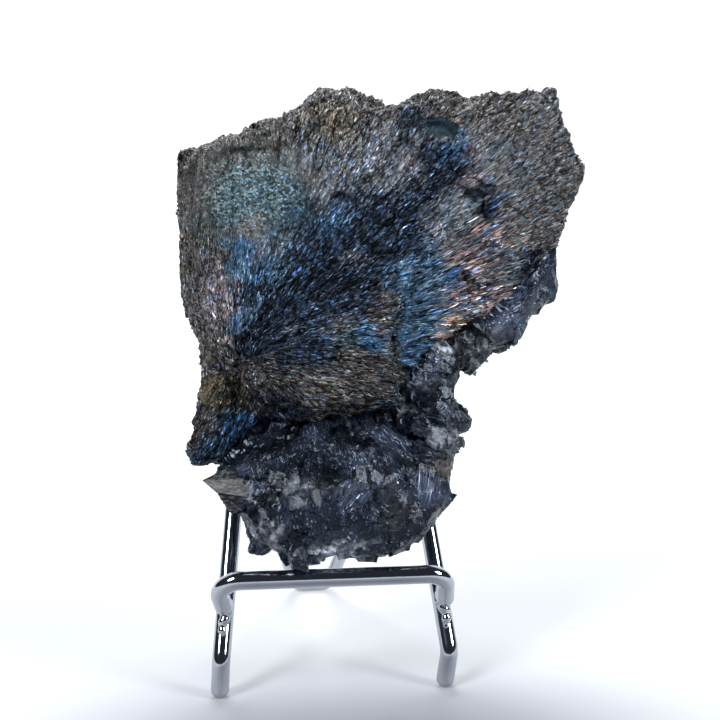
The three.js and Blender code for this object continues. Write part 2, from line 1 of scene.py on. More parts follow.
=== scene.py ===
# %% [markdown]
# # A berthierite specimen on a wire easel
# A fan of dark, metallic fibres has grown out of a lump of smoky quartz that is full of fine
# needles. The lump leans back on a small easel, bent and welded from chrome wire.
# The solid model fixes where everything is. This lesson gives it its surface: broken bundles of
# fibres, a blue, gold and rose tarnish, glassy cleavage faces and smooth bright wire.

# %% Load the fixed frame
import math

import bmesh
import bpy
import numpy as np
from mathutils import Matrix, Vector
from mathutils.bvhtree import BVHTree


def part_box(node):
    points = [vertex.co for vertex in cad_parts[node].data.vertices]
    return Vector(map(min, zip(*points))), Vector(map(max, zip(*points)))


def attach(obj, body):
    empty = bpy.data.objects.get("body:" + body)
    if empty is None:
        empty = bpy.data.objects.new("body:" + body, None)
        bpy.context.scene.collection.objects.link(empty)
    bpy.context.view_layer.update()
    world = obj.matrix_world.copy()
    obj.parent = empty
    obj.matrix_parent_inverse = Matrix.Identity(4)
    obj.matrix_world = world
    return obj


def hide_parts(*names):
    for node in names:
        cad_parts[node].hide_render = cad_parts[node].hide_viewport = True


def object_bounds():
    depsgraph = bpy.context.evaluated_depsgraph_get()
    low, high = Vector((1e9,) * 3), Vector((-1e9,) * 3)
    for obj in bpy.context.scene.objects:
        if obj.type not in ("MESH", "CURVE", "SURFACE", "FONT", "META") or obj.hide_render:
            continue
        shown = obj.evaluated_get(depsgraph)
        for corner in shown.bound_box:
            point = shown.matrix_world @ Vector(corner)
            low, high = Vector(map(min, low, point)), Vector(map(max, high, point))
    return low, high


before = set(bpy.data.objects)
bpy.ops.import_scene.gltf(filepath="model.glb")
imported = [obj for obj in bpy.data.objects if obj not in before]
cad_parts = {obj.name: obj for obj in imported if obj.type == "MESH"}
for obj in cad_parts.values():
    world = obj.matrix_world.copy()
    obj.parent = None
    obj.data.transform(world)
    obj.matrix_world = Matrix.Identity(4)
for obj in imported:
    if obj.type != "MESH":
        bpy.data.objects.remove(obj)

MM = 0.001
cad_low, cad_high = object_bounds()
print("pieces in the frame:", sorted(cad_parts))

# %% [markdown]
# ## Where things are
# The stand's feet and rear leg give the middle of the easel. The rock leans back on it, so it has
# a frame of its own: x to the right, z up along its face and depth going into it. Every place on
# the rock below is in millimetres of that frame, because a collector would measure it that way.

# %% Measures taken from the frame
WIRE_RADIUS = 2 * MM
ROCK_LEAN = math.radians(22)
LEG_LEAN = math.radians(28)
ROCK_FORWARD = 12 * MM
ROCK_FOOT = 29 * MM

rear_low, rear_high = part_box("rear_leg")
frame_low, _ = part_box("back_frame")
STAND = Vector(((rear_low.x + rear_high.x) / 2, frame_low.y + WIRE_RADIUS, 0))
ROCK_ORIGIN = np.array(STAND + Vector((0, -ROCK_FORWARD, ROCK_FOOT)))
ROCK_AXES = np.array([
    (1, 0, 0),
    (0, math.sin(ROCK_LEAN), math.cos(ROCK_LEAN)),
    (0, math.cos(ROCK_LEAN), -math.sin(ROCK_LEAN)),
])


def to_rock(points):
    """World metres to the rock's own x, z and depth in millimetres."""
    return (points - ROCK_ORIGIN) @ ROCK_AXES.T / MM


def from_rock(points):
    return np.asarray(points, float) @ ROCK_AXES * MM + ROCK_ORIGIN


print("middle of the stand (mm):", [round(v / MM, 2) for v in STAND])

# %% [markdown]
# ## Camera
# The picture was taken from a little left of the middle and slightly above, close to the rock.
# A lens of 50 mm on a full-frame sensor stands where the wire's thickness and the distance of
# its feet agree.

# %% Camera
CAMERA_FROM_STAND = Vector((-21.3, -215.4, 88.8)) * MM
CAMERA_YAW = math.radians(-7)
CAMERA_PITCH = math.radians(-4)

camera_data = bpy.data.cameras.new("camera")
camera_data.lens = 50
camera_data.sensor_width = 36
camera_data.clip_start = 0.01
camera = bpy.data.objects.new("camera", camera_data)
camera.location = STAND + CAMERA_FROM_STAND
camera.rotation_euler = (math.pi / 2 + CAMERA_PITCH, 0, CAMERA_YAW)
scene = bpy.context.scene
scene.collection.objects.link(camera)
scene.camera = camera
print("camera at (mm):", [round(v / MM, 1) for v in camera.location])

# %% [markdown]
# ## Node helpers
# A material or a geometry tree is a list of nodes and the links between them. A few small helpers
# keep that list readable. The main one adds a node and sets its sockets, the others write sums,
# ramps, mixes and patterns on one line, and the last makes a material with its main shader.


# %% Node helpers
def add(tree, kind, inputs=None, **settings):
    """A new node with its settings; an input is given as a value or as a socket to link from."""
    node = tree.nodes.new(kind)
    for name, value in settings.items():
        setattr(node, name, value)
    for key, value in (inputs or {}).items():
        socket = node.inputs[key]
        if isinstance(value, bpy.types.NodeSocket):
            tree.links.new(value, socket)
        else:
            socket.default_value = value
    return node


def maths(tree, operation, *values, clamp=False):
    inputs = dict(enumerate(values))
    return add(tree, "ShaderNodeMath", inputs, operation=operation, use_clamp=clamp).outputs[0]


def vector_maths(tree, operation, *values):
    node = add(tree, "ShaderNodeVectorMath", dict(enumerate(values)), operation=operation)
    return node.outputs["Vector"]


def scaled(tree, vector, factor):
    node = add(tree, "ShaderNodeVectorMath", {0: vector, "Scale": factor}, operation="SCALE")
    return node.outputs["Vector"]


def ramp(tree, value, *stops):
    """A colour ramp; each stop is a place between 0 and 1 and a grey value or a colour."""
    node = add(tree, "ShaderNodeValToRGB", {"Fac": value})
    elements = node.color_ramp.elements
    while len(elements) < len(stops):
        elements.new(0.5)
    for element, (place, colour) in zip(elements, stops):
        element.position = place
        grey = isinstance(colour, (int, float))
        element.color = (colour, colour, colour, 1) if grey else (*colour, 1)
    return node.outputs["Color"]


FIRST_COLOUR, SECOND_COLOUR, MIXED_COLOUR = 6, 7, 2


def mixed(tree, factor, first, second, blend="MIX"):
    """A mix of two colours, each given as three numbers or as a socket."""
    pair = [c if isinstance(c, bpy.types.NodeSocket) else (*c, 1) for c in (first, second)]
    inputs = {"Factor": factor, FIRST_COLOUR: pair[0], SECOND_COLOUR: pair[1]}
    node = add(tree, "ShaderNodeMix", inputs, data_type="RGBA", blend_type=blend)
    return node.outputs[MIXED_COLOUR]


def times(tree, first, second):
    return mixed(tree, 1.0, first, second, "MULTIPLY")


def attribute(tree, name, output="Fac"):
    return add(tree, "ShaderNodeAttribute", attribute_name=name).outputs[output]


def object_place(tree):
    return add(tree, "ShaderNodeTexCoord").outputs["Object"]


def noise(tree, place, scale, detail, roughness=0.5):
    inputs = {"Vector": place, "Scale": scale, "Detail": detail, "Roughness": roughness}
    return add(tree, "ShaderNodeTexNoise", inputs).outputs["Fac"]


def bumped(tree, height, strength, distance):
    inputs = {"Height": height, "Strength": strength, "Distance": distance}
    return add(tree, "ShaderNodeBump", inputs).outputs["Normal"]


def new_material(name, **values):
    material = bpy.data.materials.new(name)
    material.use_nodes = True
    shader = material.node_tree.nodes["Principled BSDF"]
    for key, value in values.items():
        shader.inputs[key.replace("_", " ")].default_value = value
    return material, material.node_tree, shader


# %% [markdown]
# ## Chrome
# Plated wire is a mirror with a faint haze. Its colour comes from what stands round it, so the
# material only needs a cool grey metal, a very low roughness with slow clouds of handling marks,
# and a slight ripple where the plating followed the drawn wire.

# %% Chrome material
chrome, tree, shader = new_material("chrome_wire", Metallic=1.0)
place = object_place(tree)
haze = noise(tree, place, 160.0, 4.0)
tree.links.new(ramp(tree, haze, (0.35, 0.04), (0.75, 0.14)), shader.inputs["Roughness"])
tint = ramp(tree, haze, (0.3, (0.48, 0.50, 0.545)), (0.8, (0.39, 0.41, 0.455)))
tree.links.new(tint, shader.inputs["Base Color"])
ripple = bumped(tree, noise(tree, place, 420.0, 2.0), 0.12, 0.2 * MM)
tree.links.new(ripple, shader.inputs["Normal"])
print("chrome wire:", len(tree.nodes), "nodes")

# %% [markdown]
# ## Bent wire
# Each wire of the easel is one straight run after another with round bends between them. That is
# a rule, so Geometry Nodes make it: the corners become a curve, every corner is rounded to its
# own bend radius, and a circle is swept along it. The radius shrinks near a free end, which gives
# the feet their rounded tips.


# %% Starting and ending a geometry tree
def start_tree(name, source, sizes, result):
    """A new tree with a geometry and some sizes coming in, and a geometry going out."""
    tree = bpy.data.node_groups.new(name, "GeometryNodeTree")
    tree.interface.new_socket(source, in_out="INPUT", socket_type="NodeSocketGeometry")
    for size in sizes:
        tree.interface.new_socket(size, in_out="INPUT", socket_type="NodeSocketFloat")
    tree.interface.new_socket(result, in_out="OUTPUT", socket_type="NodeSocketGeometry")
    return tree, add(tree, "NodeGroupInput").outputs


def end_tree(tree, geometry, material, result):
    """Makes what was strewn real, gives it its material and sends it out."""
    real = add(tree, "GeometryNodeRealizeInstances", {"Geometry": geometry}).outputs["Geometry"]
    done = add(tree, "GeometryNodeSetMaterial", {"Geometry": real, "Material": material})
    add(tree, "NodeGroupOutput", {result: done.outputs["Geometry"]})
    return tree


def stored(tree, name, kind="FLOAT"):
    return add(tree, "GeometryNodeInputNamedAttribute", {"Name": name}, data_type=kind).outputs[0]


# %% Bent wire by Geometry Nodes
BEND_STEPS = 24
RING_SIDES = 28
TIP_BLUNTNESS = 2.4
SMALLEST_RING = 0.02


def wire_tree(material):
    sizes = ("Wire Radius", "Tip Length", "Ring Spacing")
    tree, given = start_tree("bent_wire", "Corners", sizes, "Wire")
    curve = add(tree, "GeometryNodeMeshToCurve", {"Mesh": given["Corners"]}).outputs["Curve"]
    bend = stored(tree, "bend")
    fillet = add(
        tree, "GeometryNodeFilletCurve",
        {"Curve": curve, "Count": BEND_STEPS, "Radius": bend, "Limit Radius": True}, mode="POLY",
    )
    rings = add(
        tree, "GeometryNodeResampleCurve",
        {"Curve": fillet.outputs["Curve"], "Length": given["Ring Spacing"]}, mode="LENGTH",
    )
    along = add(tree, "GeometryNodeSplineParameter").outputs["Length"]
    whole = add(tree, "GeometryNodeSplineLength").outputs["Length"]
    to_end = maths(tree, "MINIMUM", along, maths(tree, "SUBTRACT", whole, along))
    inside = maths(tree, "DIVIDE", to_end, given["Tip Length"], clamp=True)
    open_part = maths(tree, "POWER", maths(tree, "SUBTRACT", 1.0, inside), TIP_BLUNTNESS)
    round_off = maths(tree, "POWER", maths(tree, "SUBTRACT", 1.0, open_part), 1 / TIP_BLUNTNESS)
    ring = maths(tree, "MAXIMUM", round_off, SMALLEST_RING)
    radius = maths(tree, "MULTIPLY", ring, given["Wire Radius"])
    section = add(tree, "GeometryNodeCurvePrimitiveCircle", {"Resolution": RING_SIDES, "Radius": 1.0})
    tube = add(
        tree, "GeometryNodeCurveToMesh",
        {
            "Curve": rings.outputs["Curve"],
            "Profile Curve": section.outputs["Curve"],
            "Scale": radius,
            "Fill Caps": True,
        },
    )
    smooth = add(tree, "GeometryNodeSetShadeSmooth", {"Geometry": tube.outputs["Mesh"]})
    return end_tree(tree, smooth.outputs["Geometry"], material, "Wire")


# %% From a geometry tree to a finished piece
def socket_id(tree, name):
    return next(i.identifier for i in tree.interface.items_tree if i.name == name and i.in_out == "INPUT")


def through_nodes(source, tree, **sizes):
    """Runs a geometry tree on an object, with its named sizes, and returns the finished mesh."""
    modifier = source.modifiers.new(tree.name, "NODES")
    modifier.node_group = tree
    for name, value in sizes.items():
        modifier[socket_id(tree, name.replace("_", " "))] = value
    bpy.context.view_layer.update()
    graph = bpy.context.evaluated_depsgraph_get()
    mesh = bpy.data.meshes.new_from_object(source.evaluated_get(graph))
    source.modifiers.remove(modifier)
    return mesh


def corner_object(name, corners):
    """An open chain of edges; each corner is a point and the radius of its bend."""
    mesh = bpy.data.meshes.new(name)
    mesh.from_pydata([point for point, _ in corners], [(i, i + 1) for i in range(len(corners) - 1)], [])
    bend = mesh.attributes.new("bend", "FLOAT", "POINT")
    bend.data.foreach_set("value", [radius for _, radius in corners])
    thing = bpy.data.objects.new(name, mesh)
    scene.collection.objects.link(thing)
    return thing


def finish_piece(mesh, name, slot, *nodes):
    """Links a mesh in the frame as a piece that stands for its nodes and rides with the body."""
    mesh.name = name
    piece = bpy.data.objects.new(name, mesh)
    scene.collection.objects.link(piece)
    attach(piece, "root")
    if nodes:
        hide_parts(*nodes)
    mesh.calc_loop_triangles()
    print(name, "has", len(mesh.loop_triangles), "triangles")
    return piece


bent_wire = wire_tree(chrome)
print("bent wire:", len(bent_wire.nodes), "nodes")


def bend_wire(corners, tip):
    chain = corner_object("corners", corners)
    sizes = {"Wire_Radius": WIRE_RADIUS, "Tip_Length": tip, "Ring_Spacing": 0.4 * MM}
    mesh = through_nodes(chain, bent_wire, **sizes)
    bpy.data.objects.remove(chain)
    return mesh


# %% [markdown]
# ## The three wires
# The back frame stands on two turned-down feet and closes in an arch behind the rock. The front
# lip is a bar whose arms come down to the legs. The rear leg is a U that keeps the easel from
# falling back. All three are worked out from the frame's own boxes and a few sizes.

# %% Sizes of the stand in millimetres
LEG_FOOT_HALF = 25.4
LEG_NARROWING = 0.097
FOOT_HEIGHT = 8
FOOT_X = {-1: -25.8, 1: 24.2}
FOOT_BEND = 5
ARCH_TOP = 88
ARCH_BEND = 10
LIP_HALF = 25
LIP_SHIFT = -1.5
LIP_HEIGHT = 27
LIP_FORWARD = -4.6
LIP_BEND = 4.5
WELD_TOP = 18
WELD_BOTTOM = 12.5
REAR_REACH = 75
REAR_HALF = 5
REAR_BEND = 3.5
REAR_WELD_HEIGHT = 62
WIRE_APART = 4.3
FOOT_TIP = 1.7 * MM
REAR_TIP = 1.2 * MM
ARM_TIP = 1.4 * MM
LEG_FRONT = Vector((0, -math.cos(LEG_LEAN), math.sin(LEG_LEAN)))
print("the legs are", 2 * LEG_FOOT_HALF, "mm apart at the feet")


# %% The three wires
def on_stand(x, y, z):
    return STAND + Vector((x, y, z)) * MM


def leg_point(side, height):
    half = LEG_FOOT_HALF - LEG_NARROWING * (height - FOOT_HEIGHT)
    return on_stand(side * half, (height - FOOT_HEIGHT) * math.tan(LEG_LEAN), height)


def there_and_back(half_path):
    """A wire that is the same on both sides: the left half forwards, then the right half back."""
    return half_path(-1) + half_path(1)[::-1]


def back_frame_half(side):
    return [
        (on_stand(FOOT_X[side], 0, 0), 0),
        (leg_point(side, FOOT_HEIGHT), FOOT_BEND * MM),
        (leg_point(side, ARCH_TOP), ARCH_BEND * MM),
    ]


def front_lip_half(side):
    arm_end = leg_point(side, WELD_TOP - 1) + LEG_FRONT * WIRE_APART * MM
    corner = on_stand(side * LIP_HALF + LIP_SHIFT, LIP_FORWARD, LIP_HEIGHT)
    return [(arm_end, 0), (corner, LIP_BEND * MM)]


def rear_leg_half(side):
    top = leg_point(side, REAR_WELD_HEIGHT) - LEG_FRONT * WIRE_APART * MM
    bottom = on_stand(side * REAR_HALF, REAR_REACH, WIRE_RADIUS / MM)
    return [(top, 0), (bottom, REAR_BEND * MM)]


frame_mesh = bend_wire(there_and_back(back_frame_half), FOOT_TIP)
finish_piece(frame_mesh, "back_frame_wire", "chrome_wire", "back_frame")
rear_mesh = bend_wire(there_and_back(rear_leg_half), REAR_TIP)
finish_piece(rear_mesh, "rear_leg_wire", "chrome_wire", "rear_leg")
lip_mesh = bend_wire(there_and_back(front_lip_half), ARM_TIP)

# %% [markdown]
# ## Weld beads
# Where an arm meets its leg, molten metal ran down the front of the leg and froze in small
# ripples before it was plated. Each bead is a stack of round rings along the leg whose width
# swells and tapers, and it is joined into the lip's mesh because it is part of that piece.

# %% Weld beads
BEAD_RINGS = 30
BEAD_SIDES = 24
BEAD_ABOVE = 1.6
BEAD_BELOW = 0.6
BEAD_RADIUS = 1.9
BEAD_NARROWING = 0.62
BEAD_HEAD = 0.3
BEAD_TAIL = 0.2
RIPPLE = 0.12
WANDER = 0.25


def bead_rings(side):
    """Middles and radii of the rings, from the top of a bead to its bottom."""
    for k in range(BEAD_RINGS + 1):
        t = k / BEAD_RINGS
        height = WELD_TOP + BEAD_ABOVE + (WELD_BOTTOM - BEAD_BELOW - WELD_TOP - BEAD_ABOVE) * t
        width = BEAD_RADIUS * (1 - BEAD_NARROWING * t)
        if t < BEAD_HEAD:
            width *= math.sin(math.pi * min(1, 0.12 + t * 3)) ** 0.5
        else:
            width *= math.sqrt(max(0.0, 1 - (max(0, t - 1 + BEAD_TAIL) / BEAD_TAIL) ** 2))
        width += RIPPLE * math.sin(t * 26 + side)
        middle = leg_point(side, height) + LEG_FRONT * (1.5 + 0.75 * (1 - t)) * MM
        middle += Vector((WANDER * math.sin(t * 9 + 2 * side), 0, 0)) * MM
        yield middle, max(width, 0.05) * MM


def bead_mesh(side):
    sheet = bmesh.new()
    rows = []
    for middle, width in bead_rings(side):
        row = []
        for i in range(BEAD_SIDES):
            a = 2 * math.pi * i / BEAD_SIDES
            out = LEG_FRONT * math.sin(a) + Vector((math.cos(a), 0, 0))
            row.append(sheet.verts.new(middle + out * width))
        rows.append(row)
    for low, high in zip(rows, rows[1:]):
        for i in range(BEAD_SIDES):
            j = (i + 1) % BEAD_SIDES
            sheet.faces.new((low[i], low[j], high[j], high[i]))
    sheet.faces.new(rows[0][::-1])
    sheet.faces.new(rows[-1])
    bmesh.ops.recalc_face_normals(sheet, faces=sheet.faces)
    for f in sheet.faces:
        f.smooth = True
    return sheet


whole = bmesh.new()
whole.from_mesh(lip_mesh)
for side in (-1, 1):
    bead = bead_mesh(side)
    part = bpy.data.meshes.new("bead")
    bead.to_mesh(part)
    bead.free()
    whole.from_mesh(part)
    bpy.data.meshes.remove(part)
whole.to_mesh(lip_mesh)
whole.free()
finish_piece(lip_mesh, "front_lip_wire", "chrome_wire", "front_lip")

# %% [markdown]
# ## A fine skin for a stone
# The solid model's stone has flat faces a few millimetres wide. To carry fibres it needs a much
# finer skin of even faces. A voxel remesh gives that: it fills the form with a fine lattice and
# wraps a new skin round it, so later steps can push every point in or out.


# %% Fine skin
def fine_skin(node, voxel):
    """A finely and evenly meshed copy of a node, as an object that isn't a piece yet."""
    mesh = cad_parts[node].data.copy()
    mesh.materials.clear()
    loose = bmesh.new()
    loose.from_mesh(mesh)
    bmesh.ops.remove_doubles(loose, verts=loose.verts, dist=1e-6)
    loose.to_mesh(mesh)
    loose.free()
    rough = bpy.data.objects.new("skin_of_" + node, mesh)
    scene.collection.objects.link(rough)
    modifier = rough.modifiers.new("even faces", "REMESH")
    modifier.mode = "VOXEL"
    modifier.voxel_size = voxel
    modifier.adaptivity = 0
    bpy.context.view_layer.update()
    graph = bpy.context.evaluated_depsgraph_get()
    fine = bpy.data.meshes.new_from_object(rough.evaluated_get(graph))
    bpy.data.objects.remove(rough)
    print(node, "has a skin of", len(fine.vertices), "points")
    return fine


def points_of(mesh):
    flat = np.empty(len(mesh.vertices) * 3, np.float32)
    mesh.vertices.foreach_get("co", flat)
    return flat.reshape(-1, 3).astype(float)


def normals_of(mesh):
    flat = np.empty(len(mesh.vertices) * 3, np.float32)
    mesh.vertices.foreach_get("normal", flat)
    return flat.reshape(-1, 3).astype(float)


def move_points(mesh, points):
    mesh.vertices.foreach_set("co", points.astype(np.float32).ravel())
    mesh.update()


def store(mesh, name, kind, values):
    """Keeps one value for every point, where a material or a geometry tree can read it."""
    layer = mesh.attributes.new(name, kind, "POINT")
    field = "color" if kind == "FLOAT_COLOR" else "vector" if kind == "FLOAT_VECTOR" else "value"
    layer.data.foreach_set(field, np.asarray(values, np.float32).ravel())


# %% [markdown]
# ## Cells
# Broken crystals show a patchwork of small faces, each at its own height and tilt. A cell pattern
# gives exactly that: seeds lie in a jittered grid, each point belongs to its nearest seed, and
# every seed has a random height and a random slope. Stretched along the fibres, the cells become
# splinters; left round, they become cleavage steps.


# %% Cell pattern
def hash01(cells, salt):
    """Three repeatable numbers between 0 and 1 for each cell of a grid."""
    n = cells.astype(np.int64)
    mix = n[..., 0] * 374761393 + n[..., 1] * 668265263 + n[..., 2] * 2147483647 + salt * 1274126177
    out = []
    for step in (0, 1, 2):
        h = (mix + step * 362437) & 0xFFFFFFFF
        h = ((h ^ (h >> 15)) * 2246822519) & 0xFFFFFFFF
        h = ((h ^ (h >> 13)) * 3266489917) & 0xFFFFFFFF
        out.append(((h ^ (h >> 16)) & 0xFFFFFF) / float(0x1000000))
    return np.stack(out, -1)


SEED_MARGIN = 0.15
SEED_RANGE = 0.7


def cells(where, salt, slope=0.5):
    """Height of a patchwork of tilted cells, roughly between -1 and 1, and a number for each cell."""
    base = np.floor(where)
    best = np.full(len(where), 1e9)
    height = np.zeros(len(where))
    number = np.zeros(len(where))
    for offset in np.ndindex(3, 3, 3):
        cell = base + (np.array(offset) - 1)
        seed = cell + SEED_MARGIN + SEED_RANGE * hash01(cell, salt)
        apart = where - seed
        distance = (apart ** 2).sum(1)
        traits = hash01(cell, salt + 101)
        tilt = hash01(cell, salt + 202) - 0.5
        near = distance < best
        best = np.where(near, distance, best)
        own = 2 * traits[:, 0] - 1 + slope * 4 * (apart * tilt).sum(1)
        height = np.where(near, own, height)
        number = np.where(near, traits[:, 1], number)
    return height, number


def soft(values, low, high):
    """Smooth step from 0 at low to 1 at high."""
    t = np.clip((values - low) / (high - low), 0, 1)
    return t * t * (3 - 2 * t)


# %% [markdown]
# ## The fan's fibres
# All fibres start near one place low on the left and spread from there, so a point on the fan is
# best told by how far it lies from that place, in which direction and how deep. Directions are
# counted in bands: near the start few fibres fit side by side, and further out they split, which
# keeps them equally wide. The cells are long in the direction of the fibres.

# %% Fibre coordinates
FIBRE_CENTRE = np.array([-22.0, 47.0])
SEAM_ANGLE = math.radians(-60)
SPLIT_RADII = (8, 16, 32, 64, 128)
COLUMN_SPREAD = 45
LOBE_EDGE = -13
LOBE_SPREAD = 30
LOBE_WAY = (-0.55, -0.835)


def fibre_polar(rock):
    """Way along the fibres in millimetres, and direction counted from the seam.

    Left of their start the fibres run straight up, and in the lobe below it they run parallel
    down to the left.
    """
    dx = rock[:, 0] - FIBRE_CENTRE[0]
    dz = rock[:, 1] - FIBRE_CENTRE[1]
    radius = np.hypot(dx, dz)
    angle = np.arctan2(dz, dx)
    upright = (dx < 0) & (dz > -1)
    angle = np.where(upright, math.pi / 2 - dx / COLUMN_SPREAD, angle)
    radius = np.where(upright, COLUMN_SPREAD * 0.6 + dz, radius)
    lobe = (dz <= -1) & (rock[:, 0] < LOBE_EDGE - 0.4 * (dz + 10))
    across = dx * LOBE_WAY[1] - dz * LOBE_WAY[0]
    angle = np.where(lobe, math.pi * 1.2 + across / LOBE_SPREAD, angle)
    radius = np.where(lobe, LOBE_SPREAD + dx * LOBE_WAY[0] + dz * LOBE_WAY[1], radius)
    return np.maximum(radius, 0.5), np.mod(angle - SEAM_ANGLE, 2 * math.pi)


def fibre_cells(rock, width, length, salt, slope=0.5):
    """Cells that are width wide across the fibres and length long, with bands that split."""
    radius, angle = fibre_polar(rock)
    total = np.zeros(len(rock))
    number = np.zeros(len(rock))
    level = np.log2(np.maximum(radius, SPLIT_RADII[0]) / SPLIT_RADII[0])
    for k, reach in enumerate(SPLIT_RADII):
        weight = np.clip(1 - np.abs(level - k), 0, 1)
        used = weight > 0
        where = np.stack([
            angle[used] * reach / width,
            rock[used, 2] / (width * 1.3),
            radius[used] / length + 13.7 * k,
        ], 1)
        height, own = cells(where, salt + 17 * k, slope)
        sharp = weight[used] ** 2 / (weight[used] ** 2 + (1 - weight[used]) ** 2)
        total[used] += height * sharp
        number[used] += own * sharp
    return total, number


# %% [markdown]
# ## Where the fan looks different
# The specimen isn't even. Flat cleavage on the upper left is granular, the middle is a mass of
# short dark flakes, and the right slab has long straight ribs. Soft masks say how much of each a
# point has. They are drawn as a few ellipses on the face, given by middle, reach and direction.


# %% Zone masks on the face
def blob(rock, x, z, reach_x, reach_z, turn=0.0):
    """1 in the middle of a turned ellipse on the face, falling smoothly to 0 past its edge."""
    a = math.radians(turn)
    dx = rock[:, 0] - x
    dz = rock[:, 1] - z
    u = (dx * math.cos(a) + dz * math.sin(a)) / reach_x
    v = (-dx * math.sin(a) + dz * math.cos(a)) / reach_z
    return np.exp(-(u ** 2 + v ** 2) ** 1.5)


def fan_zones(rock):
    x, z = rock[:, 0], rock[:, 1]
    front = 1 - soft(rock[:, 2], 6, 11)
    ribbed = soft(x - 14 - 0.55 * (z - 55), -2, 6) * (1 - soft(z, 112, 118))
    ribbed *= 1 - 0.85 * soft(x + 0.4 * (z - 80), 44, 56)
    grainy = np.clip(blob(rock, -18, 90, 14, 12) * 1.4, 0, 1) * front
    ledge = blob(rock, -3, 42, 17, 7)
    rough_top = soft(z + 0.12 * np.abs(x), 104, 111)
    return {"front": front, "ribbed": ribbed, "grainy": grainy, "ledge": ledge, "top": rough_top}


def inside(rock, corners):
    """1 for points whose place on the face lies inside a polygon, else 0."""
    within = np.zeros(len(rock), bool)
    for (x0, z0), (x1, z1) in zip(corners, corners[1:] + corners[:1]):
        crosses = (z0 > rock[:, 1]) != (z1 > rock[:, 1])
        left = rock[:, 0] < x0 + (x1 - x0) * (rock[:, 1] - z0) / ((z1 - z0) or 1e-9)
        within ^= crosses & left
    return within.astype(float)


FLAT_PIT = [
    (25.0, 110.9), (27.4, 112.0), (30.8, 111.0), (33.6, 108.8), (31.8, 105.2), (27.6, 104.7), (25.0, 107.0),
]
CHIP = [(31.6, 72.4), (34.0, 70.4), (37.2, 68.0), (33.4, 67.2)]
HOLES = [(36.6, 91.4), (38.4, 90.8), (38.6, 88.4), (37.8, 85.6), (36.6, 86.8), (36.8, 89.4)]

# %% [markdown]
# ## The fan's surface
# Fibres of five sizes lie over each other, from ridges 24 mm long to splinters of 2 mm. Each size is
# a layer of cells, given by width, length, salt and slope, with a height in millimetres, and the
# zones turn a layer up or down. The flat facet is cut back a little and left smooth.

# %% The fan's surface
FAN_SKIN = 0.53 * MM
FIBRE_SIZES = {
    "ridge": (6.5, 24, 9, 0.8),
    "bundle": (2.4, 13, 1, 0.8),
    "flake": (1.3, 4.2, 2, 0.8),
    "rib": (0.95, 16, 3, 0.3),
    "splinter": (0.75, 2.2, 4, 0.8),
}
LIFT = {"ridge": 0.50, "bundle": 0.40, "flake": 0.26, "rib": 0.20, "splinter": 0.11, "grain": 0.13}
GRAIN_SIZE = 1.1
PIT_DEPTH = 0.6
HOLE_DEPTH = 0.5

fan = fine_skin("berthierite", FAN_SKIN)
points = points_of(fan)
rock = to_rock(points)
zones = fan_zones(rock)
heights, tones = {}, {}
for kind, (width, length, salt, slope) in FIBRE_SIZES.items():
    heights[kind], tones[kind] = fibre_cells(rock, width, length, salt, slope)
grains, _ = cells(rock / GRAIN_SIZE, 5, 0.8)

grainy, ribbed = zones["grainy"], zones["ribbed"]
lift = (LIFT["bundle"] * heights["bundle"] + LIFT["ridge"] * heights["ridge"]) * (1 - 0.75 * grainy)
lift += LIFT["flake"] * heights["flake"] * (1 - ribbed) * (1 - 0.8 * grainy) * (1 - 0.5 * zones["ledge"])
lift += LIFT["rib"] * heights["rib"] * (0.35 + 0.65 * ribbed)
lift += LIFT["splinter"] * heights["splinter"]
lift += LIFT["grain"] * grains * (grainy + 0.8 * zones["top"])
pit = inside(rock, FLAT_PIT) * zones["front"]
sunk = (inside(rock, CHIP) + inside(rock, HOLES)) * zones["front"]
lift = lift * (1 - 0.95 * pit) - PIT_DEPTH * pit - HOLE_DEPTH * sunk
move_points(fan, points + normals_of(fan) * (lift * MM)[:, None])
print("fibres lift the skin by up to", round(float(np.abs(lift).max()), 2), "mm")
